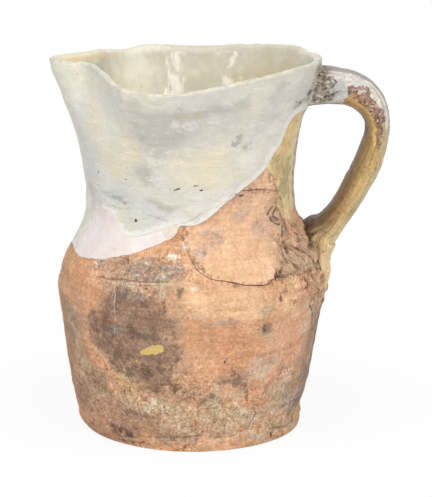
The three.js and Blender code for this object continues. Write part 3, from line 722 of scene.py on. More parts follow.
# A spot on the vessel is (degrees from the handle, height, half width, half height), and here
# its height and sizes are in millimetres
vessel_spots = {
    "orange": [
        (-147, 106, 16, 12), (-148, 94, 14, 12), (-133, 104, 12, 7), (-136, 92, 8, 8),
        (-153, 113, 10, 8), (-95, 98, 12, 6), (-89, 83, 14, 12), (-80, 73, 18, 16), (-69, 74, 20, 12),
        (-67, 84, 16, 6), (-61, 66, 12, 12), (-58, 40, 14, 10), (-62, 34, 12, 8), (-137, 56, 9, 12),
        (-132, 50, 8, 12), (-94, 3.5, 20, 3), (-74, 3, 30, 2), (-66, 52, 10, 10), (-78, 60, 18, 12),
        (60, 60, 40, 30), (150, 90, 30, 20),
    ],
    "pink": [
        (-44, 76, 12, 10), (-36, 84, 12, 12), (-38, 62, 12, 12), (-46, 52, 10, 10), (-52, 62, 8, 8),
        (-28, 96, 10, 12), (-22, 86, 10, 16), (-60, 157, 12, 6), (110, 80, 30, 16),
    ],
    "peach": [
        (-87, 104, 12, 9), (-77, 103, 20, 11), (-66, 101, 18, 10), (-63, 96, 12, 10), (-69, 89, 20, 6),
        (-81, 94, 14, 8), (-72, 122, 18, 12), (-62, 132, 16, 14), (-67, 142, 10, 10), (-84, 142, 10, 6),
        (-68, 116, 18, 6), (-41, 102, 12, 8), (-35, 94, 10, 8), (-88, 125, 6, 12), (-49, 125, 10, 10),
        (80, 100, 40, 14),
    ],
    "wash": [
        (-114, 78, 36, 40), (-101, 106, 14, 10), (-120, 112, 26, 10), (-108, 44, 26, 18),
        (-92, 40, 18, 10), (-151, 66, 14, 34), (-143, 40, 20, 26), (-130, 24, 30, 16),
        (-104, 16, 36, 7), (-70, 47, 14, 9), (-78, 36, 16, 8), (-43, 30, 14, 18), (-24, 56, 12, 40),
        (-35, 122, 12, 12), (-74, 83, 26, 3), (-90, 10, 60, 4), (-50, 9, 30, 3), (100, 70, 60, 40),
        (170, 50, 50, 50), (40, 100, 30, 30),
    ],
    "haze": [
        (-79, 138, 9, 8), (-57, 160, 12, 6), (-48, 135, 7, 5), (-61, 149, 9, 5), (-83, 130, 7, 6),
        (-42, 146, 6, 8), (-88, 90, 12, 4), (-55, 57, 12, 6), (-40, 38, 10, 8),
    ],
    "olive": [
        (-58, 92, 9, 5), (-54, 74, 8, 6), (-44, 34, 8, 8), (-152, 60, 6, 9), (-150, 50, 7, 8),
        (-157, 72, 5, 12), (-142, 36, 12, 12), (-110, 26, 20, 9), (-96, 29, 22, 7), (-85, 27, 22, 8),
        (-77, 28, 18, 8), (-70, 20, 24, 8), (-61, 22, 14, 7), (-94, 18, 18, 7), (-46, 11, 22, 5),
        (-31, 10, 14, 4), (-143, 50, 8, 10), (-101, 104, 9, 8), (-38, 121, 8, 8), (-32, 124, 6, 6),
        (20, 30, 40, 12), (130, 30, 40, 14),
    ],
    "yellow": [
        (-122.5, 48, 6, 7), (-121, 42, 6, 7), (-118.5, 37, 6, 6), (-114, 31, 6, 4), (-156, 124, 6, 8),
    ],
    "stain": [
        (-140, 84, 5, 5), (-138, 93, 5, 4), (-120, 98, 16, 7), (-111, 99, 10, 6), (-128, 86, 16, 10),
        (-115, 87, 20, 12), (-107, 86, 12, 12), (-134, 76, 10, 8), (-118, 74, 22, 14),
        (-108, 72, 14, 14), (-120, 61, 13, 9), (-109, 60, 14, 12), (-114, 50, 10, 7), (-109, 49, 12, 6),
    ],
    "dark": [
        (-115, 50, 8, 4), (-109, 48, 9, 3), (-98, 47.5, 6, 3), (-93, 45.5, 5, 4), (-105, 39.5, 6, 3),
        (-113, 76, 10, 6), (-120, 101, 10, 4), (-112, 99, 9, 5), (-134, 86, 7, 5), (-128, 92, 8, 4),
        (-125, 66, 10, 4), (-70, 45, 8, 4), (-91, 103, 3, 4), (-100.5, 64, 3, 10), (-54, 80, 3, 3),
        (-127, 78, 9, 4), (-104, 58, 5, 4), (-121, 21, 6, 3), (-62, 41, 2, 6), (-76, 36, 6, 3),
        (-118, 60, 6, 4),
    ],
    "blue": [
        (-113, 119.5, 14, 6), (-104, 119.5, 16, 7), (-97, 120, 9, 6), (-108, 116, 14, 5),
        (-113, 104, 8, 5), (-121, 105, 6, 4), (-137, 118, 5, 4), (-122, 80, 8, 3), (-128, 80, 5, 4),
        (-151, 79, 5, 10), (-155, 68, 4, 10), (-126, 80, 7, 3), (-17, 68, 7, 16), (-15, 50, 8, 18),
        (-18, 36, 7, 14), (-22, 24, 7, 10), (-36, 28, 8, 8), (-110, 124.5, 8, 2), (-124, 121.5, 8, 3),
        (-84, 130.5, 3, 4), (120, 110, 20, 12),
    ],
    "violet": [
        (-132, 12.5, 8, 3), (-127, 10.5, 9, 4), (-122, 8.5, 8, 3), (-126, 3.5, 12, 3),
        (-118, 12.5, 5, 2), (-114, 4, 6, 2), (-48.7, 99, 2.5, 4), (-46, 103, 3, 4), (-57, 80, 2, 3),
    ],
    "dab": [
        (-106.3, 69, 4.4, 3.4), (-109, 67.2, 3.6, 2.6), (-103.6, 70.4, 3.2, 3.4),
        (-111, 66.4, 2.2, 1.8),
    ],
    "red": [(-43, 50, 2, 4.5), (-44, 47, 2.4, 2), (-31, 99, 1.6, 1.4)],
    "scuff": [
        (-85.5, 129, 3.4, 5), (-87, 110, 5, 2), (-100, 127, 7, 2), (-93, 134, 3, 6), (-138, 119, 6, 2),
        (-75, 143, 6, 3), (-57, 19, 8, 3), (-150, 88, 4, 3), (-112, 123, 5, 2), (-44, 21, 3, 3),
    ],
    "rough": [
        (-100, 22, 60, 24), (-70, 24, 50, 18), (-140, 30, 36, 30), (-92, 44, 26, 12),
        (-28, 120, 24, 24), (-40, 26, 20, 26), (-110, 116, 40, 12), (-18, 104, 18, 24),
    ],
    "cream": [
        (-137, 200, 10, 22), (-139, 186, 10, 14), (-130, 184, 12, 14), (-123, 206, 10, 10),
        (-88, 186, 16, 8), (-77, 190, 16, 14), (-66, 178, 14, 12), (-118, 195, 10, 12),
        (-84, 176, 18, 6), (-150, 215, 10, 14), (60, 200, 40, 20), (150, 190, 30, 30),
    ],
    # High on the front of the neck these darken it under the rim as painted shade; lower down they are
    # greyer paint
    "shade": [
        (-96, 216, 26, 14), (-100, 222.5, 26, 9), (-86, 222.5, 24, 9), (-103, 226, 30, 10),
        (-108, 214, 20, 12), (-100, 204, 22, 14), (-88, 226, 22, 8), (-92, 212, 20, 12),
        (-138, 158, 18, 8), (-103, 160, 14, 4), (-112, 180, 10, 10), (-74, 226, 18, 8),
        (100, 180, 30, 20), (-155, 165, 12, 12),
    ],
    "lilac": [
        (-99, 205, 14, 12), (-100, 222, 16, 6), (-86, 208, 12, 10), (-140, 154, 14, 8),
        (-75, 214, 12, 8), (-60, 216, 14, 8), (-45, 222, 10, 8),
    ],
    "bluish": [
        (-65, 202, 3, 5), (-67, 198, 3, 4), (-60, 196, 5, 3.6), (-133, 160, 10, 1.6),
        (-128, 157, 8, 1.4),
    ],
    "white": [
        (-134, 205, 14, 18), (-140, 222, 14, 10), (-107.7, 149, 14, 3), (-98, 147, 10, 3),
        (-86, 158, 10, 6), (-104, 172, 8, 6), (-138, 172, 6, 8), (-73, 166, 16, 6), (-56, 186, 10, 14),
        (-44, 206, 8, 16), (-38, 222, 8, 12),
    ],
    "ochre": [
        (-94, 222.6, 1.4, 2), (-89.5, 224.8, 2, 1.2), (-85, 225, 2.2, 1.8), (-88, 219, 1.4, 0.8),
        (-62, 223.6, 1.2, 1),
    ],
    "pit": [
        (-145.6, 174.8, 0.8, 1.4), (-124.9, 173.4, 0.9, 0.6), (-95, 170.3, 2.2, 0.8),
        (-86.1, 172.2, 1.4, 0.8), (-83.4, 168.6, 1.2, 0.6), (-97, 169.5, 1.1, 0.7),
        (-63.5, 164.2, 2, 0.6), (-84.8, 172.8, 1, 0.6), (-120, 147, 1.8, 1), (-92, 151.5, 1.2, 0.4),
    ],
    "nick": [
        (-60.5, 162.8, 3, 0.7), (-74.2, 61.3, 0.9, 1.8), (-73.6, 63.2, 0.8, 1), (-59.5, 80, 1.2, 0.8),
    ],
    "blush": [(-29, 196, 10, 14), (-26, 205, 6, 8), (-33, 178, 5, 6)],
    "green": [(-37, 188, 8, 8), (-33, 176, 6, 8), (-29, 164, 8, 10), (-24, 170, 6, 14)],
    # A darker band down the right edge of the neck: painted shade where the wall turns away
    "neck_edge_shade": [(-6, 195, 10, 34), (-6, 165, 9, 16)],
    "grime": [
        (-17, 222, 8, 8), (-25, 213, 10, 4), (-12, 234, 9, 6), (-9, 226, 8, 8), (-20, 214, 12, 4),
        (8, 226, 10, 12),
    ],
    # A dark band down the right edge of the body, below the handle: painted shade where the wall turns
    # away
    "right_edge_shade": [(-9, 72, 12, 18), (-10, 52, 12, 20), (-14, 34, 14, 14), (-22, 22, 14, 8), (2, 60, 14, 30)],
    "ash": [
        (-64, 30, 16, 12), (-47, 26, 16, 12), (-78, 19, 20, 8), (-54, 11, 30, 6), (-33, 24, 12, 10),
        (-94, 22, 18, 8), (-38, 44, 12, 10), (-56, 52, 12, 8), (-42, 5, 30, 4), (-64, 4, 26, 4),
        (-22, 8, 20, 8), (-108, 28, 12, 6), (-28, 80, 10, 12), (-100, 110, 16, 6), (-118, 108, 14, 5),
    ],
    "cool": [
        (-152, 176, 16, 22), (-136, 163, 22, 12), (-158, 200, 10, 22), (-114, 152, 20, 7),
        (-150, 160, 14, 10),
    ],
    "umber": [
        (-162, 70, 12, 30), (-168, 48, 12, 26), (-157, 38, 14, 16), (-150, 20, 20, 10),
        (-160, 28, 10, 14), (-146, 9, 24, 9), (-127, 7, 20, 7), (-158, 22, 10, 14), (-118, 16, 14, 6),
        (-104, 12, 12, 4), (-30, 34, 12, 12), (-22, 60, 6, 30), (-135, 40, 14, 14),
    ],
    "smear": [
        (-22, 122, 22, 20), (-20, 102, 18, 18), (-37, 124, 14, 16), (-36, 147, 8, 10),
        (22, 120, 20, 22), (0, 88, 22, 12),
    ],
    "chip": [(-46.5, 113.5, 1.6, 3.4), (-48.6, 111.2, 3, 1.4), (-52.5, 110.4, 2.6, 1)],
}
# The same on the inside
inner_spots = {
    # Darker spots on the back and right of the inside: painted shade
    "painted_shade_in": [(88, 222, 30, 30), (60, 224, 50, 34), (30, 228, 40, 30), (5, 232, 30, 20)],
    # Lighter spots on the left of the inside: painted light
    "painted_light_in": [(135, 216, 26, 30), (120, 214, 16, 26)],
    "ochre_in": [(166, 237.5, 20, 3), (150, 236.5, 16, 3), (136, 236.5, 12, 2.2)],
    "white_in": [(138, 230, 8, 6), (133, 226, 7, 6)],
    "tan_in": [(46, 219.5, 24, 6), (30, 224.5, 16, 6), (62, 215, 14, 5)],
}
small_marks = ("dab", "red", "ochre", "pit", "nick", "bluish", "scuff", "blue", "violet")
stain_spread = 1.3

# A stroke is a line of (degrees from the handle, height in millimetres)
vessel_strokes = {
    "scratch": [
        [(-152, 48), (-145, 44), (-137, 41), (-128, 33.5), (-121, 28)],
        [(-116, 33), (-115, 28), (-114, 23)],
        [(-57.6, 27), (-56.4, 23), (-57.3, 18), (-60, 12.5)],
        [(-70.5, 56), (-69, 53)],
        [(-48, 113), (-40, 111.5), (-34, 113), (-24, 114)],
        [(-133, 111.2), (-117, 112.2), (-101, 113.2)],
        [
            (-128, 7), (-110, 9.5), (-92, 10.6), (-82, 11), (-69, 10), (-61, 12.5), (-50, 12), (-36, 8),
            (-23, 8.4),
        ],
    ],
    "chalk": [
        [(-125, 110), (-124, 100), (-123.5, 88), (-124.5, 79)],
        [(-103.5, 114), (-103, 102)],
        [(-98.6, 114), (-96, 106)],
        [(-131, 109.8), (-117, 110.8), (-102, 111.8)],
        [(-135, 64), (-131, 58), (-128, 50)],
    ],
    "craze": [
        [(-150, 166), (-143, 163.5), (-137, 163)],
        [(-141, 160.5), (-133, 159), (-127, 157.5)],
        [(-137, 155), (-130, 153.5), (-124, 154.5)],
        [(-112.6, 151.5), (-107, 150), (-102, 148.8)],
        [(-97, 146.5), (-92, 148.5), (-88, 150), (-84, 153.5)],
        [(-75, 157.5), (-70, 161), (-66, 165)],
    ],
    "fold": [
        [(-40, 152), (-43, 149), (-42, 146), (-38.5, 142), (-36, 141)],
        [(-36, 151), (-39, 147), (-36.5, 144)],
        [(-33, 138), (-35, 133), (-37, 128), (-37, 124)],
        [(-24, 133), (-21.5, 129), (-24, 126)],
        [(-31, 126), (-28, 123), (-26, 121), (-23, 120)],
        [(-17, 121), (-20, 115), (-19.5, 110), (-18.5, 107)],
        [(-31.5, 106), (-30.3, 104), (-30.8, 101), (-32, 100.8)],
        [(-27.5, 88), (-26, 84), (-24.5, 82)],
    ],
}

# A spot on the strap is (turn in degrees from its outer face, share of its length,
# half width in right angles, half length in shares of the length)
strap_spots = {
    "worn": [
        (272, 0.15, 0.2, 0.022), (280, 0.172, 0.28, 0.03), (279, 0.205, 0.3, 0.03),
        (275, 0.238, 0.32, 0.034), (272, 0.272, 0.33, 0.036), (275, 0.308, 0.3, 0.036),
        (280, 0.342, 0.28, 0.036), (286, 0.38, 0.2, 0.034), (296, 0.3, 0.14, 0.03),
        (294, 0.335, 0.18, 0.036),
    ],
    "fleck": [
        (279, 0.172, 0.12, 0.012), (270, 0.25, 0.05, 0.008), (284, 0.182, 0.08, 0.008),
        (262, 0.262, 0.05, 0.006),
    ],
    "tan": [
        (250, 0.145, 0.2, 0.024), (252, 0.18, 0.24, 0.034), (254, 0.214, 0.2, 0.03),
        (254, 0.25, 0.12, 0.024),
    ],
    "yellow": [
        (246, 0.305, 0.1, 0.03), (250, 0.335, 0.12, 0.036), (255, 0.372, 0.11, 0.034),
        (268, 0.55, 0.14, 0.05),
    ],
    "line": [
        (258, 0.3, 0.05, 0.018), (262, 0.318, 0.05, 0.02), (266, 0.34, 0.05, 0.022),
        (267, 0.366, 0.05, 0.022), (267, 0.392, 0.045, 0.022),
    ],
    "dirt": [
        (300, 0.052, 0.5, 0.044), (272, 0.058, 0.5, 0.046), (328, 0.048, 0.4, 0.034),
        (250, 0.05, 0.4, 0.036), (300, 0.105, 0.06, 0.007), (262, 0.1, 0.1, 0.008),
    ],
    "grey": [
        (285, 0.095, 0.4, 0.04), (262, 0.11, 0.3, 0.034), (250, 0.07, 0.3, 0.04),
        (270, 0.02, 0.5, 0.02),
    ],
}


# Relief of the vessel's surface


def spots_mask(angle, height, spots, spread=1):
    """How deep inside the nearest of some oval spots, from 0 outside to 1 at its centre"""
    mask = np.zeros(np.shape(angle))
    for at_angle, *lengths in spots:
        at_height, wide, high = np.array(lengths) / 1000
        across = np.radians(wrapped(angle - at_angle)) * radius_at(at_height) / wide
        up = (height - at_height) / high
        mask = np.maximum(mask, 1 - np.hypot(across, up) / spread)
    return mask


# The creases' slope in degrees, the height that it is measured from behind the handle, and how
# many times as long as wide they are
crease_lean = 42.0
crease_height = 0.12
crease_stretch = 3.5
# The creases' masks hold places along and across them, from minus to plus this far
crease_reach = 0.1


def crease_course(angle, height):
    """Places along and across the creases, which run down towards the handle's root"""
    sideways = np.abs(np.radians(wrapped(angle)) * shoulder_radius)
    lean = math.radians(crease_lean)
    along = -sideways * math.cos(lean) - (height - crease_height) * math.sin(lean)
    across = -sideways * math.sin(lean) + (height - crease_height) * math.cos(lean)
    return along, across


# Two lines scored part of the way round the shoulder, as (height, depth), which rise to the right
scored_lines = ((0.1122, 0.0005), (0.1104, 0.0003))
scored_line_rise = 0.00006
scored_line_middle = -117


def vessel_relief(points, angle, height, inside, strap_distance):
    """How far the surface lies outside the smooth wall"""
    outer = 1 - inside
    flat_foot = ease(height, 0.001, 0.006)
    relief = 0.0004 * layered_noise(points, 0.05, 2, 1) + 0.00012 * layered_noise(points, 0.013, 3, 4)
    bands = points * (0.12, 0.12, 1)
    below_neck = 1 - ease(height, neck_height - 0.01, neck_height + 0.02)
    relief += mix(0.00008, 0.0002, below_neck) * noise(bands, 0.0045, 8)
    relief += 0.0003 * noise(bands, 0.012, 9)
    relief += outer * below_neck * 0.00009 * layered_noise(points, 0.0028, 2, 10)
    bearing = wrapped(angle)
    scored = outer * ease(bearing, -137, -130) * (1 - ease(bearing, -104, -96))
    rise = scored_line_rise * (bearing - scored_line_middle) + 0.0003 * noise(points, 0.02, 12)
    for at_height, depth in scored_lines:
        relief -= depth * scored * hump(height, at_height + rise, 0.0007)
    relief -= outer * 0.0016 * ease(spots_mask(angle, height, vessel_spots["chip"]), 0, 0.6)
    # The clay is smeared up to the handle and dragged into folds below it
    smear = outer * spots_mask(angle, height, vessel_spots["smear"]).clip(0, 0.6) / 0.6
    along, across = crease_course(angle, height)
    dragged = layered_noise(np.stack([along / 3, across, 0 * along], -1), 0.006, 3, 14)
    relief += smear * 0.0013 * (1 - 2 * np.abs(dragged).clip(0, 1))
    near_strap = outer * hump(strap_distance, 0, 0.004)
    relief += near_strap * (0.0013 + 0.0006 * layered_noise(points, 0.006, 3, 18))
    # Chips out of the rim and the foot
    rim = hump(height, rim_height, 0.003)
    relief *= 1 - 0.6 * rim
    relief -= rim * 0.0005 * ease(layered_noise(points, 0.007, 2, 21), 0.6, 1.2)
    foot = hump(height, 0.004, 0.004) * outer
    relief -= foot * 0.0011 * ease(layered_noise(points, 0.008, 2, 24), 0.5, 1.1)
    return relief * flat_foot


def make_vessel(strap):
    """The whole displaced vessel, and its surface to look things up on"""
    angles, rows = vessel_rows()
    grid = np.stack([ring for ring, _, _ in rows])
    height = np.array([height for _, height, _ in rows])[:, None] + 0 * angles
    inside = np.array([inside for _, _, inside in rows])[:, None] + 0 * angles
    angle = angles + 0 * height
    strap_distance = np.full(angle.shape, 1.0)
    close = (np.abs(wrapped(angle)) < 40) & (inside < 0.5) & (height > 0.07)
    strap_distance[close] = distance_to(grid[close], strap.points)
    relief = vessel_relief(grid, angle, height, inside, strap_distance)
    grid = grid + grid_normals(grid) * relief[..., None]
    surface = Surface(grid, angle=angle, height=height, inside=inside, strap_distance=strap_distance)
    vessel = solid_from_grid("vessel", grid, (0, 0, 0), (0, 0, floor_thickness))
    outer = (height[:, 0] > foot_rounding) & (inside[:, 0] == 0)
    return vessel, surface, grid[outer]


def make_strap():
    grid, share, turn = strap_grid()
    grid = grid + grid_normals(grid) * strap_relief(grid, share, turn)[..., None]
    return grid, Surface(grid, share=share, turn=turn)


def cut_vessel(vessel):
    """Cuts the vessel along all its joints at once"""
    cutter = None
    for points, widths in joint_lines:
        sheet = joint_sheet(points, widths)
        if cutter is None:
            cutter = sheet
        else:
            carve(cutter, sheet, "UNION")
            discard(sheet)
    carve(vessel, cutter)
    discard(cutter)
    return loose_parts(vessel)


def piece_at(parts, place):
    """The part with a point nearest to the place"""
    return min(parts, key=lambda part: np.linalg.norm(mesh_points(part) - place, axis=1).min())


# Each vessel piece with a place on its outside
vessel_places = {
    "lower_body": (-60, 0.6),
    "shoulder_sherd": (-65, 1.65),
    "small_neck_sherd": (-45, 2.17),
    "handle_wall_sherd": (-20, 2),
    "neck_restoration_front": (-90, 2.5),
    "neck_restoration_back": (75, 2.5),
    "pink_plaster_fill": (-140, 1.7),
    "cream_plaster_fill": (-99.5, 1.8),
}
strap_places = {"handle_strap": (0.6, 0), "handle_top_restoration": (0.1, 0.9)}


def make_pieces():
    strap_points, strap_surface = make_strap()
    vessel, surface, outside = make_vessel(strap_surface)
    strap = solid_from_grid("strap", strap_points, strap_points[0].mean(0), strap_points[-1].mean(0))
    envelope = solid_from_grid("envelope", outside, outside[0].mean(0), outside[-1].mean(0))
    face_outward(strap)
    carve(strap, envelope)
    discard(envelope)
    scarf = scarf_sheet()
    carve(strap, scarf)
    discard(scarf)

    pieces = {}
    parts = cut_vessel(vessel)
    for name, (angle, course) in vessel_places.items():
        pieces[name] = piece_at(parts, wall_point(angle, height_of(course)))
    strap_parts = loose_parts(strap)
    for name, (share, across) in strap_places.items():
        middle, _, outward = strap_frame(np.array(share))
        pieces[name] = piece_at(strap_parts, middle + outward * across * strap_half_thickness(share))
    for part in parts + strap_parts:
        if part not in pieces.values():
            discard(part)
    for name, piece in pieces.items():
        piece.name = piece.data.name = name + "_surface"
    return pieces, surface, strap_surface


pieces, vessel_surface, strap_surface = make_pieces()


# Masks, which tell the materials where the marks are

spot_waver = 0.0045
waver_size = 0.024
small_mark_waver = 0.12
stroke_reach = 0.0024
rim_shade_reach = 0.006
strap_shade_reach = 0.02
# Where the strap's outer side folds over to its inner side, in degrees from its outer face,
# and over how many degrees the one turns into the other
strap_fold = curve_through([
    (0, 126), (0.3, 118), (0.43, 104), (0.55, 98), (0.69, 90), (0.82, 78), (1, 70),
])
strap_fold_spread = 110

# Each mask along some joints: its name, the joints and how far it reaches
edge_masks = (
    ("plaster_edge", (plaster_edge_front, plaster_edge_back), edge_shade_reach),
    ("crack", (shoulder_crack, neck_crack), crack_shade_reach),
    ("glaze_edge", (glaze_edge,), glaze_shade_reach),
)


def set_mask(thing, name, values):
    """Keeps values from 0 to 1 at the points of a mesh, for its material"""
    attribute = thing.data.attributes.new(name, "FLOAT", "POINT")
    attribute.data.foreach_set("value", np.clip(values, 0, 1).astype(np.float32))


def set_mask_if_any(thing, name, values):
    if values.max() > 0:
        set_mask(thing, name, values)


def line_points(lines):
    places = []
    for line in lines:
        angle, height, _ = joint_places(line)
        places.append(wall_point(angle, height))
    return np.concatenate(places)


def stroke_points(stroke):
    """Closely spaced points on the wall along a stroke"""
    line = smooth_line(stroke, 24)
    return wall_point(line[:, 0], line[:, 1] / 1000)


def nearness(points, line, reach):
    """1 on a line, falling to 0 at the reach"""
    return np.clip(1 - distance_to(points, line) / reach, 0, 1)


def line_field(points, normals, lines):
    """How near each point is to some lines, from 0 to 1, and how far it lies beside the nearest,
    from -1 on its one side to 1 on its other side"""
    along = unit(np.concatenate([np.gradient(line, axis=0) for line in lines]))
    line = np.concatenate(lines)
    tree = kd_tree(line)
    found = [tree.find(point) for point in points]
    nearest = np.array([index for _, index, _ in found])
    near = 1 - np.array([distance for _, _, distance in found]) / stroke_reach
    across = np.cross(normals, along[nearest])
    beside = np.einsum("ij,ij->i", across, points - line[nearest]) / stroke_reach
    return np.clip(near, 0, 1), np.clip(beside, -1, 1)


def dress_vessel_piece(name, piece):
    points, normals, known = vessel_surface.look_up(piece)
    angle, height, inside = known["angle"], known["height"], known["inside"]
    outer = inside < 0.5
    raised = piece_relief(name, points, angle, height)
    move_points(piece, points + normals * (raised * outer)[:, None])
    set_mask(piece, "inside", inside)
    set_mask(piece, "high", height / rim_height)
    set_mask(piece, "rim", 1 - np.abs(height - rim_height) / rim_shade_reach)
    set_mask(piece, "by_strap", 1 - known["strap_distance"] / strap_shade_reach)
    along, across = crease_course(angle, height)
    set_mask(piece, "crease_along", 0.5 + along / (2 * crease_reach))
    set_mask(piece, "crease_across", 0.5 + across / (2 * crease_reach))

    # Stains have wavering outlines, small marks keep theirs
    up = spot_waver * layered_noise(points, waver_size, 5, 81)
    sideways = spot_waver * layered_noise(points, waver_size, 5, 87)
    for mask, spots in vessel_spots.items():
        small = mask in small_marks
        waver = small_mark_waver if small else 1
        wandered = angle + np.degrees(waver * sideways / shoulder_radius)
        values = spots_mask(wandered, height + waver * up, spots, 1 if small else stain_spread)
        set_mask_if_any(piece, mask, values * outer)
    for mask, spots in inner_spots.items():
        values = spots_mask(angle, height, spots, stain_spread)
        set_mask_if_any(piece, mask, values * (inside > 0.5))
    for mask, strokes in vessel_strokes.items():
        lines = [stroke_points(stroke) for stroke in strokes]
        near, beside = line_field(points, normals, lines)
        if near.max() > 0:
            set_mask(piece, mask, near * outer)
            set_mask(piece, mask + "_side", 0.5 + 0.5 * beside)
    for mask, lines, reach in edge_masks:
        set_mask(piece, mask, nearness(points, line_points(lines), reach) * outer)


def piece_relief(name, points, angle, height):
    """Plaster stands a little proud of the clay and has its own lumps and pits"""
    if name.startswith("neck_restoration"):
        lumps = 0.00022 * layered_noise(points, 0.016, 3, 31)
        grain = 0.00009 * layered_noise(points, 0.003, 2, 35)
        pits = 0.0007 * ease(spots_mask(angle, height, vessel_spots["pit"]), 0, 0.7)
        return (0.0003 + (lumps + grain)) * (1 - ease(height, 0.23, 0.238)) - pits
    if name in ("pink_plaster_fill", "cream_plaster_fill"):
        return 0.00012 + 0.0001 * noise(points, 0.012, 38)
    return 0 * height


def dress_strap_piece(piece):
    points, _, known = strap_surface.look_up(piece)
    share, turn = known["share"], known["turn"]
    wandered_share = share + 0.008 * layered_noise(points, 0.012, 4, 91)
    wandered_turn = turn + 7 * layered_noise(points, 0.010, 4, 95)
    for mask, spots in strap_spots.items():
        values = np.zeros(len(points))
        for at_turn, at_share, wide, long in spots:
            across = wrapped(wandered_turn - at_turn) / 90 / wide
            values = np.maximum(values, 1 - np.hypot(across, (wandered_share - at_share) / long))
        set_mask(piece, mask, values)
    fold = np.abs(wrapped(turn))
    set_mask(piece, "share", share)
    set_mask(piece, "fold", fold / 180)
    set_mask(piece, "under", (fold - strap_fold(share)) / strap_fold_spread + 0.5)
    set_mask(piece, "root", ease(wandered_share, 0.80, 0.90))
    wall = radius_at(points[:, 2])
    set_mask(piece, "by_wall", 1 - (np.hypot(points[:, 0], points[:, 1]) - wall) / strap_shade_reach)


# Materials


def rgb(red, green, blue):
    """A colour as it looks on a screen, from 0 to 255, as light"""
    shares = np.array((red, green, blue)) / 255
    light = np.where(shares < 0.04045, shares / 12.92, ((shares + 0.055) / 1.055) ** 2.4)
    return (*light.tolist(), 1.0)


def add_node(tree, kind, inputs=None, **settings):
    """A node with its settings, and with its inputs set or linked"""
    node = tree.nodes.new("ShaderNode" + kind)
    for key, value in settings.items():
        setattr(node, key, value)
    for key, value in (inputs or {}).items():
        if isinstance(value, bpy.types.NodeSocket):
            tree.links.new(value, node.inputs[key])
        else:
            node.inputs[key].default_value = value
    return node


# How far one layer of Blender's noise spreads about its middle
plain_noise_spread = 0.13
# Each noise of a material starts this far on from the one before it
seed_step = 1.7


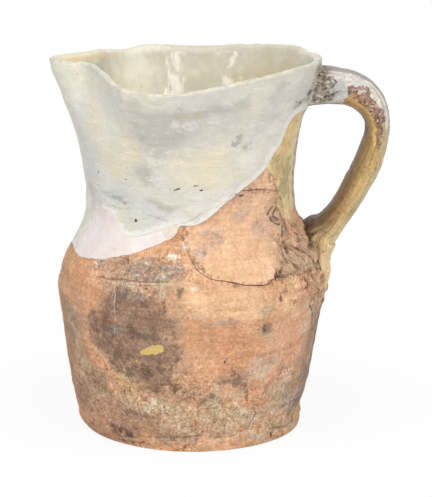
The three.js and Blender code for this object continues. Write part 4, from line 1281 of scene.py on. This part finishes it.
class Finish:
    """One procedural material, built up from noises, masks and layers of colour"""

    def __init__(self, name, colour, roughness):
        self.material = bpy.data.materials.new(name)
        self.material.use_nodes = True
        self.tree = self.material.node_tree
        self.shader = self.tree.nodes["Principled BSDF"]
        self.place = self.node("TexCoord").outputs["Object"]
        self.start = self.colour = rgb(*colour)
        self.roughness = roughness
        self.height = 0.0
        self.seed = 0.0
        self.within = 1.0

    def node(self, kind, inputs=None, **settings):
        return add_node(self.tree, kind, inputs, **settings)

    def math(self, operation, *inputs):
        return self.node("Math", dict(enumerate(inputs)), operation=operation).outputs[0]

    def times(self, *values):
        product = values[0]
        for value in values[1:]:
            product = self.math("MULTIPLY", product, value)
        return product

    def noise(self, size, detail=3, rough=0.6, stretch=(1, 1, 1), distortion=0.0):
        """Noise about 0, most of it between -1 and 1, which may be stretched"""
        self.seed += seed_step
        inputs = {"Vector": self.place, "Scale": stretch}
        place = self.node("Mapping", inputs, vector_type="TEXTURE").outputs[0]
        inputs = {
            "Vector": place, "W": self.seed, "Scale": 1 / size, "Detail": detail,
            "Roughness": rough, "Distortion": distortion,
        }
        value = self.node("TexNoise", inputs, noise_dimensions="4D").outputs[0]
        weights = rough ** np.arange(detail + 1)
        spread = plain_noise_spread * math.sqrt((weights**2).sum()) / weights.sum()
        return self.math("MULTIPLY_ADD", value, 1 / spread, -0.5 / spread)

    def mask(self, name):
        return self.node("Attribute", attribute_name=name).outputs["Fac"]

    def step(self, value, low, high, top=1.0):
        inputs = {"Value": value, "From Min": low, "From Max": high, "To Min": 0.0, "To Max": top}
        return self.node("MapRange", inputs, interpolation_type="SMOOTHSTEP").outputs[0]

    def ragged(self, mask, low, high, size, ragged, top=1.0, rough=0.6):
        """A mask with its edge broken up by noise, and nothing where the mask is 0"""
        value = mask if isinstance(mask, bpy.types.NodeSocket) else self.mask(mask)
        broken = self.math("MULTIPLY_ADD", self.noise(size, 4, rough), ragged, value)
        return self.times(self.step(broken, low, high, top), self.step(value, 0.0, 0.1))

    def patches(self, size, low, high, top=1.0, rough=0.6, detail=3):
        """Patches from 0 to the top, wherever a noise passes two levels"""
        return self.step(self.noise(size, detail, rough), low, high, top)

    def specks(self, size, low, high):
        """Small patches with a sharper grain"""
        return self.patches(size, low, high, 1.0, 0.8)

    def run_along(self, along, length, across, width):
        """Makes what follows run along a surface, whose own places are in two masks"""
        inputs = {
            0: self.math("MULTIPLY", self.mask(along), length),
            1: self.math("MULTIPLY", self.mask(across), width),
        }
        self.place = self.node("CombineXYZ", inputs).outputs[0]

    def paint(self, colour, amount):
        amount = self.times(amount, self.within)
        inputs = {0: amount, 6: self.colour, 7: rgb(*colour)}
        self.colour = self.node("Mix", inputs, data_type="RGBA", blend_type="MIX").outputs[2]

    def mark(self, colour, *broken):
        """Paints a mask with a broken edge"""
        self.paint(colour, self.ragged(*broken))

    def patch(self, colour, *levels):
        """Paints patches of noise"""
        self.paint(colour, self.patches(*levels))

    def shade(self, value, amount):
        """Makes the colour lighter or darker, by the value times the amount. Weak channels change
        more, so that the colour looks as warm as before."""
        value = self.times(value, self.within)
        weights = np.max(self.start) / np.array(self.start[:3])
        inputs = {0: value, 1: tuple(amount * weights**0.45), 2: (1, 1, 1)}
        change = self.node("VectorMath", inputs, operation="MULTIPLY_ADD").outputs[0]
        inputs = {0: self.colour, 1: change}
        self.colour = self.node("VectorMath", inputs, operation="MULTIPLY").outputs[0]

    def drawn(self, name, width):
        """Thin lines along the strokes of one kind, as wide as a share of their reach"""
        aside = self.math("SUBTRACT", self.mask(name + "_side"), 0.5)
        aside = self.math("ABSOLUTE", self.math("MULTIPLY_ADD", self.noise(0.005), 0.06, aside))
        shown = self.step(self.mask(name), 0.15, 0.5)
        return self.times(self.step(aside, width, 0.3 * width), shown, self.patches(0.004, -1.6, -0.4))

    def veins(self, size, width, distortion=0.5):
        """Thin wandering lines, where a noise passes its middle"""
        ridge = self.math("ABSOLUTE", self.noise(size, 3, 0.6, distortion=distortion))
        return self.step(ridge, width, 0.3 * width)

    def emboss(self, value, depth):
        """Adds relief: the value times a depth in metres"""
        self.height = self.math("MULTIPLY_ADD", self.times(value, self.within), depth, self.height)

    def polish(self, roughness, amount):
        inputs = {0: amount, 2: self.roughness, 3: roughness}
        self.roughness = self.node("Mix", inputs, data_type="FLOAT").outputs[0]

    def finish(self):
        bump = self.node("Bump", {"Height": self.height, "Distance": 1.0, "Strength": 1.0})
        self.tree.links.new(bump.outputs[0], self.shader.inputs["Normal"])
        for key, value in (("Base Color", self.colour), ("Roughness", self.roughness)):
            if isinstance(value, bpy.types.NodeSocket):
                self.tree.links.new(value, self.shader.inputs[key])
            else:
                self.shader.inputs[key].default_value = value
        return self.material


def varnish_inside(finish, colour):
    """The inside of the jug has a glossy coat of its own, dirtier further down"""
    coat = finish.step(finish.mask("inside"), 0.4, 0.75)
    finish.within = coat
    finish.paint(colour, 1.0)
    finish.patch((210, 200, 168), 0.035, 0.0, 1.4, 0.5)
    finish.patch((226, 224, 212), 0.022, 0.2, 1.5, 0.6)
    finish.patch((188, 172, 134), 0.009, 1.2, 2.4, 0.35)
    # Painted shade on the back and right of the inside
    finish.mark((195, 188, 166), "painted_shade_in", 0.0, 0.7, 0.012, 0.15, 0.7)
    # Painted light on the left of the inside
    finish.mark((240, 235, 210), "painted_light_in", 0.0, 0.7, 0.012, 0.15, 0.7)
    finish.paint((150, 132, 96), finish.step(finish.mask("high"), 0.72, 0.3))
    finish.mark((228, 203, 158), "ochre_in", 0.0, 0.6, 0.008, 0.12, 0.8)
    finish.mark((242, 238, 228), "white_in", 0.0, 0.6, 0.005, 0.2, 0.9)
    finish.mark((196, 176, 136), "tan_in", 0.0, 0.9, 0.010, 0.12, 0.6)
    finish.shade(finish.noise(0.006, 3, 0.7), 0.012)
    finish.emboss(finish.noise(0.020, 2), 0.00010)
    finish.emboss(finish.noise(0.0035, 3, 0.7, stretch=(1, 1, 5)), 0.000012)
    finish.within = 1.0
    finish.polish(0.10, coat)
    return coat


# Soft stains of the clay: the mask, the colour and how much of it shows
clay_stains = (
    ("orange", (214, 157, 118), 0.85),
    ("peach", (233, 188, 147), 0.9),
    ("pink", (221, 168, 138), 0.75),
    ("wash", (182, 148, 121), 0.85),
    ("olive", (192, 167, 134), 0.8),
    ("yellow", (206, 178, 130), 0.65),
    ("haze", (204, 170, 146), 0.7),
    ("umber", (160, 128, 102), 0.75),
    ("stain", (164, 131, 107), 0.85),
    ("smear", (202, 168, 136), 0.7),
)
# Smaller marks with broken edges: the mask, the colour, how much of it shows, how ragged it is,
# the size of its breaks and the levels between which it fades in
clay_marks = (
    ("stain", (108, 87, 77), 0.58, 0.80, 0.0032, (0.15, 1.2)),
    ("stain", (150, 116, 94), 0.50, 0.50, 0.0090, (-0.1, 0.9)),
    # The dark band down the right edge of the body is painted shade
    ("right_edge_shade", (128, 110, 98), 0.85, 0.40, 0.0050, (-0.1, 0.9)),
    ("ash", (206, 190, 166), 0.46, 0.50, 0.0044, (0.0, 1.3)),
    ("dark", (106, 84, 72), 0.65, 0.35, 0.0050, (0.15, 0.9)),
    ("blue", (134, 130, 127), 0.70, 0.50, 0.0040, (-0.2, 1.2)),
    ("violet", (88, 60, 58), 0.85, 0.25, 0.0050, (0.15, 0.9)),
    ("scuff", (226, 214, 198), 0.75, 0.25, 0.0050, (0.15, 0.9)),
)


def clay(name, base, tone):
    """Matt fired clay: broad soft stains of colour, and finer marks that lighten or darken it"""
    finish = Finish(name, base, 0.85)
    finish.patch(tone, 0.030, -0.8, 1.0, 1.0, 0.5)
    for mask, colour, top in clay_stains:
        finish.mark(colour, mask, 0.0, 0.8, 0.012, 0.18, top, 0.5)
    for mask, colour, top, edge, size, levels in clay_marks:
        finish.mark(colour, mask, *levels, size, edge, top, 0.7)

    worn = finish.math("ADD", 0.65, finish.ragged("rough", 0.0, 0.6, 0.012, 0.15, 0.8))
    worn = finish.math("SUBTRACT", worn, finish.step(finish.mask("peach"), 0.0, 0.7, 0.25))
    mottle = finish.noise(0.012, 4, 0.9, distortion=0.6)
    grit = finish.noise(0.0030, 3, 0.95)
    streaks = finish.noise(0.012, 4, 0.7, stretch=(3.3, 3.3, 0.2))
    dust = finish.noise(0.0013, 1, 0.9)
    finish.shade(mottle, 0.045)
    finish.shade(finish.times(grit, worn), 0.075)
    finish.shade(finish.times(dust, worn), 0.08)
    finish.shade(streaks, 0.035)
    clustered = finish.times(worn, finish.patches(0.018, -0.4, 1.2))
    lines = finish.times(finish.veins(0.007, 0.14, 0.8), clustered)
    specks = finish.times(finish.specks(0.0024, 1.0, 1.9), clustered)
    flecks = finish.times(finish.specks(0.0030, 1.1, 2.1), finish.patches(0.014, -0.2, 1.2))
    crackle = finish.times(finish.veins(0.0034, 0.22, 0.6), worn, finish.patches(0.010, -0.6, 0.8))
    finish.shade(lines, -0.25)
    finish.shade(crackle, -0.16)
    finish.shade(specks, -0.35)
    finish.shade(flecks, 0.20)

    for mask in ("crack", "glaze_edge"):
        finish.mark((122, 84, 62), mask, 0.5, 1.2, 0.003, 0.3, 0.6)
    # Darker clay along the plaster's proud edge: painted shadow
    finish.mark((176, 142, 120), "plaster_edge", 0.3, 0.9, 0.006, 0.2, 0.6)
    scratches = finish.drawn("scratch", 0.16)
    folds = finish.drawn("fold", 0.20)
    finish.paint((110, 78, 62), finish.times(scratches, 0.55))
    finish.paint((222, 202, 182), finish.times(finish.drawn("chalk", 0.12), 0.5))
    finish.paint((92, 60, 46), finish.times(folds, 0.8))
    finish.mark((218, 188, 116), "dab", 0.08, 0.2, 0.003, 0.05, 0.95)
    finish.mark((190, 80, 72), "red", 0.2, 0.6, 0.002, 0.2, 0.75)
    finish.mark((50, 36, 32), "nick", 0.2, 0.5, 0.002, 0.15)
    finish.mark((84, 54, 40), "chip", 0.2, 0.5, 0.003, 0.10, 0.9)

    finish.emboss(grit, 0.000025)
    finish.emboss(finish.noise(0.006, 4, 0.7), 0.00006)
    finish.emboss(streaks, 0.00004)
    for marks, depth in ((lines, 0.00012), (specks, 0.00012), (scratches, 0.0002), (folds, 0.0005)):
        finish.emboss(marks, -depth)
    return finish


def bare_clay_finish(name, base, tone, inside):
    finish = clay(name, base, tone)
    varnish_inside(finish, inside)
    return finish.finish()


def wall_glaze_finish():
    """Worn olive glaze on the neck, bare and smeared clay round the handle root"""
    finish = clay("glazed_wall", (234, 184, 150), (224, 174, 140))
    glazed = finish.ragged(finish.step(finish.mask("high"), 0.56, 0.65), 0.35, 0.65, 0.012, 0.30)
    finish.within = glazed
    finish.paint((232, 208, 154), 1.0)
    finish.patch((214, 190, 134), 0.016, 0.0, 1.4, 0.8)
    finish.mark((228, 196, 138), "blush", 0.0, 0.8, 0.006, 0.15, 0.8)
    finish.mark((176, 164, 118), "green", 0.0, 0.8, 0.005, 0.25, 0.85)
    # A darker band down the right edge of the neck: painted shade
    finish.mark((146, 130, 116), "neck_edge_shade", 0.0, 0.6, 0.004, 0.25, 0.85)
    grain = finish.noise(0.005, 5, 0.78)
    finish.shade(grain, 0.05)
    finish.shade(finish.times(finish.veins(0.006, 0.16), finish.patches(0.014, 0.0, 1.2)), -0.30)
    finish.within = finish.ragged("smear", 0.1, 0.5, 0.008, 0.15)
    plain_place = finish.place
    finish.patch((214, 166, 134), 0.010, -0.2, 1.2, 0.7)
    finish.patch((198, 170, 136), 0.014, 0.4, 1.4, 0.75)
    reach = 2 * crease_reach
    finish.run_along("crease_along", reach / crease_stretch, "crease_across", reach)
    creases = finish.noise(0.0034, 4, 0.8, distortion=0.4)
    finish.shade(creases, 0.08)
    # Paler on the raised folds, a painted highlight; darker in the hollows between them
    finish.paint((240, 208, 178), finish.step(creases, 0.7, 1.8, 0.7))
    finish.paint((112, 82, 64), finish.step(creases, -1.0, -2.0, 0.8))
    finish.shade(finish.times(finish.veins(0.006, 0.14, 0.6), finish.patches(0.008, -0.4, 0.8)), -0.5)
    finish.emboss(creases, 0.00025)
    finish.place = plain_place
    finish.within = 1.0
    # Near-black where the wall meets the strap's root: dirt and painted shade in the corner
    finish.mark((66, 44, 34), "by_strap", 0.80, 1.1, 0.004, 0.14, 0.85)
    finish.polish(0.42, glazed)
    varnish_inside(finish, (224, 218, 192))
    return finish.finish()


# Soft stains of the plaster, as (mask, colour, how much of it shows). The darker grey high on the front
# of the neck is painted shade under the rim.
plaster_stains = (
    ("cream", (229, 219, 188), 0.7),
    ("shade", (185, 180, 168), 0.75),
    ("lilac", (204, 199, 193), 0.5),
    ("cool", (209, 210, 210), 0.75),
    ("white", (238, 236, 230), 0.30),
)


def plaster_finish():
    """Painted and varnished plaster, mottled grey and cream"""
    finish = Finish("grey_plaster", (220, 216, 202), 0.5)
    finish.patch((226, 220, 199), 0.034, -0.2, 1.4, 0.5, 0.5)
    finish.patch((210, 208, 202), 0.028, 0.0, 1.4, 0.5, 0.5)
    for mask, colour, top in plaster_stains:
        finish.mark(colour, mask, -0.05, 1.0, 0.012, 0.14, top)
    finish.mark((160, 160, 162), "bluish", 0.1, 0.8, 0.003, 0.3, 0.7, 0.75)
    # Brush marks run slanting round the neck
    brushed = finish.noise(0.010, 5, 0.72, stretch=(1.4, 1.4, 0.6), distortion=0.8)
    finish.shade(brushed, 0.020)
    light = finish.times(finish.step(brushed, 0.8, 2.2, 0.5), finish.patches(0.03, -0.5, 1.0))
    finish.paint((240, 236, 226), light)
    finish.shade(finish.noise(0.030, 3, 0.6), 0.014)
    finish.mark((222, 186, 122), "ochre", 0.1, 0.7, 0.002, 0.25, 0.6)
    finish.mark((240, 237, 229), "plaster_edge", 0.10, 0.7, 0.005, 0.16, 0.75)
    # A lighter band along the lip is painted highlight, where its top catches the light; a darker line
    # follows its very edge
    finish.mark((226, 219, 196), "rim", 0.5, 1.0, 0.006, 0.15, 0.6)
    finish.mark((184, 172, 154), "rim", 0.7, 1.2, 0.004, 0.25, 0.4, 0.7)
    finish.mark((160, 150, 136), "grime", 0.1, 0.9, 0.004, 0.40, 0.7, 0.8)
    finish.shade(finish.times(finish.specks(0.0022, 0.1, 1.1), finish.mask("grime")), -0.9)
    craze = finish.drawn("craze", 0.09)
    finish.paint((140, 136, 130), finish.times(craze, 0.4))
    finish.emboss(craze, -0.0001)
    cracks = finish.times(finish.veins(0.012, 0.05, 1.0), finish.patches(0.024, 0.2, 1.2))
    specks = finish.times(finish.specks(0.0022, 1.4, 2.2), finish.patches(0.016, 0.0, 1.2))
    finish.shade(cracks, -0.22)
    finish.shade(specks, -0.20)
    finish.shade(finish.noise(0.0022, 2, 0.8), 0.012)
    coat = varnish_inside(finish, (228, 224, 204))
    finish.mark((44, 42, 40), "pit", 0.2, 0.45, 0.002, 0.1)
    finish.within = finish.math("SUBTRACT", 1.0, coat)
    finish.emboss(brushed, 0.00008)
    finish.emboss(cracks, -0.0001)
    return finish.finish()


def smooth_plaster_finish(name, base, tone):
    """Bare smooth plaster"""
    finish = Finish(name, base, 0.8)
    finish.patch(tone, 0.014, -0.3, 1.4, 0.8)
    finish.shade(finish.noise(0.008, 4, 0.8), 0.014)
    finish.shade(finish.patches(0.005, 1.3, 2.3, 1.0, 0.75), -0.08)
    finish.shade(finish.patches(0.004, 1.0, 2.0, 1.0, 0.75), 0.04)
    finish.mark((176, 142, 118), "crack", 0.7, 1.1, 0.003, 0.2, 0.5)
    varnish_inside(finish, (206, 196, 166))
    finish.emboss(finish.noise(0.003, 4), 0.00003)
    return finish.finish()


# Noise on the strap is ten times as long along it as across, which makes streaks
streak_along = 0.16
streak_across = 1.6


def along_the_strap(finish):
    """Makes what follows run in streaks along the strap"""
    finish.run_along("share", streak_along * handle_length, "fold", streak_across * handle_width)


def worn_patch(finish):
    """Purple-brown paint, worn through to pale flecks"""
    finish.within = finish.ragged("worn", 0.0, 0.40, 0.005, 0.30, 0.92, 0.8)
    finish.paint((136, 103, 96), 1.0)
    finish.patch((92, 64, 58), 0.0035, 0.0, 1.3, 0.85, 0.8)
    finish.patch((176, 140, 116), 0.0040, 0.5, 1.4, 0.7, 0.8)
    finish.patch((218, 196, 184), 0.0034, 1.1, 1.8, 0.85, 0.8)
    finish.mark((228, 208, 198), "fleck", 0.1, 0.6, 0.003, 0.4, 0.9, 0.8)
    finish.within = 1.0


# Marks on the glaze of the strap, as (mask, colour, how much of it shows)
strap_marks = (
    ("yellow", (222, 184, 106), 0.8),
    ("tan", (200, 152, 98), 0.85),
    ("line", (122, 76, 60), 0.85),
)


def strap_finish():
    """Worn yellow glaze, brown and with painted shade on the inner side, bare clay at the root"""
    finish = Finish("strap_glaze", (206, 177, 118), 0.42)
    share, fold = finish.mask("share"), finish.mask("fold")
    plain_place = finish.place
    along_the_strap(finish)
    streaks = finish.noise(0.007, 4, 0.75)
    fine = finish.noise(0.0024, 4, 0.8)
    finish.paint((226, 194, 126), finish.step(streaks, 0.0, 1.4, 0.8))
    finish.paint((180, 153, 104), finish.step(streaks, -0.3, -1.5, 0.75))
    # Greyer and darker along the outer face, where it turns away at the edge: painted shade
    finish.paint((190, 174, 140), finish.step(fold, 0.42, 0.22, 0.55))
    bare = finish.times(finish.step(share, 0.64, 0.84, 0.85), finish.step(fold, 0.74, 0.56))
    finish.paint((236, 212, 160), bare)
    # The inner side is darker: partly brown glaze, partly painted shade where it faces away from the
    # light
    inner = finish.math("MULTIPLY_ADD", streaks, 0.13, finish.mask("under"))
    inner = finish.math("MULTIPLY_ADD", fine, 0.07, inner)
    finish.paint((160, 130, 88), finish.step(inner, 0.30, 0.72, 0.9))
    finish.paint((128, 102, 72), finish.step(inner, 0.62, 1.05, 0.85))
    # Near the root the inner side is darker from dirt and painted shade; under the upper arch it is
    # painted shade
    root_inner_shade_and_dirt = finish.times(finish.step(inner, 0.52, 0.92), finish.step(share, 0.62, 0.82, 0.9))
    upper_inner_shade = finish.times(finish.step(fold, 0.74, 0.90, 0.7), finish.step(share, 0.45, 0.30))
    amber = finish.times(finish.step(fine, 0.5, 1.6, 0.6), finish.step(inner, 1.1, 0.6))
    finish.paint((88, 65, 47), root_inner_shade_and_dirt)
    finish.paint((112, 86, 66), upper_inner_shade)
    finish.paint((204, 152, 88), amber)
    finish.shade(streaks, 0.035)
    finish.shade(fine, 0.055)
    for mask, colour, top in strap_marks:
        finish.mark(colour, mask, 0.0, 0.5, 0.004, 0.25, top, 0.75)
    finish.place = plain_place
    worn_patch(finish)
    finish.mark((226, 196, 152), "root", 0.25, 0.9, 0.006, 0.3, 0.7, 0.75)
    # Near-black in the crevice against the wall: dirt and painted shade
    crevice_shade_and_dirt = finish.ragged("by_wall", 0.5, 1.0, 0.004, 0.25, 0.9)
    finish.paint((58, 42, 33), finish.times(crevice_shade_and_dirt, finish.step(fold, 0.45, 0.62)))
    grit = finish.noise(0.0024, 3, 0.85)
    clustered = finish.patches(0.010, -0.9, 0.7)
    specks = finish.times(finish.specks(0.0022, 0.7, 1.7), clustered)
    finish.shade(grit, 0.06)
    finish.shade(specks, -0.30)
    flecks = finish.times(finish.specks(0.0022, 0.9, 1.9), finish.patches(0.012, -0.4, 1.0))
    finish.shade(flecks, 0.22)
    finish.shade(finish.times(finish.veins(0.006, 0.14), clustered), -0.22)
    finish.emboss(grit, 0.00003)
    finish.emboss(fine, 0.00004)
    finish.emboss(specks, -0.0001)
    return finish.finish()


def top_plaster_finish():
    """Dirty white plaster over the top of the strap, with painted shade along its edges"""
    finish = Finish("white_plaster", (220, 215, 204), 0.6)
    fold = finish.mask("fold")
    finish.patch((200, 197, 192), 0.012, 0.0, 1.4, 0.8)
    finish.patch((236, 230, 216), 0.008, 0.2, 1.4, 0.7)
    finish.mark((182, 181, 182), "grey", 0.0, 0.7, 0.006, 0.3, 0.8)
    plain_place = finish.place
    along_the_strap(finish)
    drawn = finish.noise(0.0026, 3, 0.65)
    buff = finish.times(finish.step(drawn, 0.2, 1.3, 0.8), finish.step(fold, 0.40, 0.30))
    finish.paint((184, 164, 136), buff)
    # A greyer band along its upper edge is partly dirt and partly painted shade; the darker underside is
    # painted shade
    finish.paint((150, 138, 134), finish.step(fold, 0.18, 0.10, 0.75))
    finish.paint((138, 116, 96), finish.step(fold, 0.70, 0.86, 0.75))
    finish.shade(drawn, 0.03)
    finish.place = plain_place
    finish.within = finish.ragged("dirt", 0.0, 0.6, 0.006, 0.3)
    finish.paint((152, 134, 108), 0.7)
    finish.patch((84, 66, 48), 0.0040, -0.3, 1.2, 0.75, 0.8)
    finish.patch((44, 34, 27), 0.0022, 0.0, 1.0, 0.9, 0.8)
    finish.patch((236, 226, 204), 0.0022, 1.1, 1.8, 0.85, 0.8)
    finish.emboss(finish.noise(0.0030, 4, 0.7), 0.00014)
    finish.within = 1.0
    worn_patch(finish)
    grit = finish.noise(0.0022, 4, 0.85)
    finish.shade(grit, 0.05)
    finish.shade(finish.specks(0.0024, 1.1, 2.0), -0.35)
    finish.shade(finish.times(finish.veins(0.005, 0.10), finish.patches(0.010, 0.0, 1.2)), -0.25)
    finish.emboss(grit, 0.00003)
    finish.emboss(drawn, 0.00003)
    return finish.finish()


sherd_inside = (186, 166, 126)
finishes = {
    "lower_body": (
        "terracotta",
        bare_clay_finish("terracotta", (216, 168, 130), (207, 157, 120), (176, 156, 116)),
    ),
    "shoulder_sherd": (
        "pale_terracotta",
        bare_clay_finish("pale_clay", (234, 190, 155), (228, 181, 147), sherd_inside),
    ),
    "small_neck_sherd": (
        "pale_terracotta",
        bare_clay_finish("salmon_clay", (244, 203, 171), (237, 192, 159), sherd_inside),
    ),
    "handle_wall_sherd": ("olive_glaze", wall_glaze_finish()),
    "neck_restoration_front": ("grey_plaster", plaster_finish()),
    "pink_plaster_fill": (
        "pink_plaster",
        smooth_plaster_finish("pink_plaster", (237, 227, 223), (230, 218, 213)),
    ),
    "cream_plaster_fill": (
        "cream_plaster",
        smooth_plaster_finish("cream_plaster", (232, 220, 206), (226, 208, 190)),
    ),
    "handle_strap": ("olive_glaze", strap_finish()),
    "handle_top_restoration": ("white_plaster", top_plaster_finish()),
}
finishes["neck_restoration_back"] = finishes["neck_restoration_front"]

# Where two faces meet at more than this many degrees, they meet in an edge
sharp_from = 38

for name, piece in pieces.items():
    if name in strap_places:
        dress_strap_piece(piece)
    else:
        dress_vessel_piece(name, piece)
    slot, material = finishes[name]
    piece.data.materials.clear()
    piece.data.materials.append(material)
    piece.data.shade_smooth()
    piece.data.set_sharp_from_angle(angle=math.radians(sharp_from))
    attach(piece, "root")
    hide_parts(name)


# Studio

# The sky's strength, and the share of it that comes from behind the jug
world_light = 0.74
behind_share = 0.35
# How far backwards a direction points where the sky starts to weaken, and where it has
weaker_from = -0.2
weakest_from = 0.6
# The floor's half width, grey and roughness; the share of plain white over it near the jug, where the
# shadow shows through; and the distances between which that share rises to all of it
floor_reach = 4.0
floor_grey = 0.9
floor_roughness = 0.9
floor_lift = 0.92
shadow_reach = 0.10
white_from = 0.30
lamp_target = (0, 0, 0.14)
# Each lamp with its place, width, height and brightness
lamps = {
    "top_light": ((0.1, -0.5, 1.5), 1.3, 1.3, 1.5),
    "right_window": ((0.48, -1.70, 1.22), 0.44, 0.80, 7.2),
    "left_window": ((-1.42, -1.06, 1.26), 0.42, 0.52, 6.4),
}


def put_in_scene(name, data, place, target):
    """A camera or a lamp at its place, turned to its target"""
    thing = bpy.data.objects.new(name, data)
    thing.location = place
    thing.rotation_euler = (Vector(target) - Vector(place)).to_track_quat("-Z", "Y").to_euler()
    bpy.context.scene.collection.objects.link(thing)
    return thing


def make_camera():
    data = bpy.data.cameras.new("photo_camera")
    data.lens = camera_lens
    data.sensor_width = camera_sensor
    bpy.context.scene.camera = put_in_scene("photo_camera", data, camera_place, camera_target)


def make_lamp(name, place, wide, high, brightness):
    """A rectangular lamp aimed at the jug; brightness 1 is white when looked at"""
    data = bpy.data.lights.new(name, "AREA")
    data.shape = "RECTANGLE"
    data.size, data.size_y = wide, high
    data.energy = brightness * math.pi * wide * high
    put_in_scene(name, data, place, lamp_target)


def white_for_camera(tree, lit):
    """A strength of 1 for the camera, for mirrors and for glass, and of `lit` for the light"""
    rays = add_node(tree, "LightPath").outputs
    seen = rays["Is Camera Ray"]
    for ray in ("Is Glossy Ray", "Is Transmission Ray"):
        seen = add_node(tree, "Math", {0: seen, 1: rays[ray]}, operation="MAXIMUM").outputs[0]
    return add_node(tree, "MapRange", {"Value": seen, "To Min": lit, "To Max": 1.0}).outputs[0]


def make_world():
    """White for the camera, and a soft light that is weaker from behind the jug"""
    world = bpy.data.worlds.new("studio")
    bpy.context.scene.world = world
    world.use_nodes = True
    tree = world.node_tree
    direction = add_node(tree, "TexCoord").outputs["Generated"]
    backwards = add_node(tree, "SeparateXYZ", {0: direction}).outputs["Y"]
    inputs = {
        "Value": backwards, "From Min": weaker_from, "From Max": weakest_from,
        "To Min": world_light, "To Max": world_light * behind_share,
    }
    lit = add_node(tree, "MapRange", inputs).outputs[0]
    background = tree.nodes["Background"].inputs
    background["Color"].default_value = (1, 1, 1, 1)
    tree.links.new(white_for_camera(tree, lit), background["Strength"])


def make_floor():
    """A pale floor that keeps the shadow near the jug and is white further away"""
    corners = [(x * floor_reach, y * floor_reach, 0) for x, y in ((-1, -1), (1, -1), (1, 1), (-1, 1))]
    floor = make_object("floor", corners, [(0, 1, 2, 3)])
    material = bpy.data.materials.new("pale_floor")
    material.use_nodes = True
    tree = material.node_tree
    shader = tree.nodes["Principled BSDF"]
    shader.inputs["Base Color"].default_value = (floor_grey, floor_grey, floor_grey, 1)
    shader.inputs["Roughness"].default_value = floor_roughness
    shader.inputs["Specular IOR Level"].default_value = 0.0
    place = add_node(tree, "TexCoord").outputs["Object"]
    distance = add_node(tree, "VectorMath", {0: place}, operation="LENGTH").outputs["Value"]
    inputs = {"Value": distance, "From Min": shadow_reach, "From Max": white_from, "To Min": floor_lift}
    away = add_node(tree, "MapRange", inputs, interpolation_type="SMOOTHSTEP").outputs[0]
    seen = white_for_camera(tree, 0.0)
    share = add_node(tree, "Math", {0: away, 1: seen}, operation="MULTIPLY").outputs[0]
    white = add_node(tree, "Emission", {"Strength": 1.0}).outputs[0]
    blend = add_node(tree, "MixShader", {0: share, 1: shader.outputs[0], 2: white}).outputs[0]
    tree.links.new(blend, tree.nodes["Material Output"].inputs["Surface"])
    floor.data.materials.append(material)


make_camera()
make_world()
make_floor()
for name, settings in lamps.items():
    make_lamp(name, *settings)
bpy.context.scene.view_settings.view_transform = "Standard"
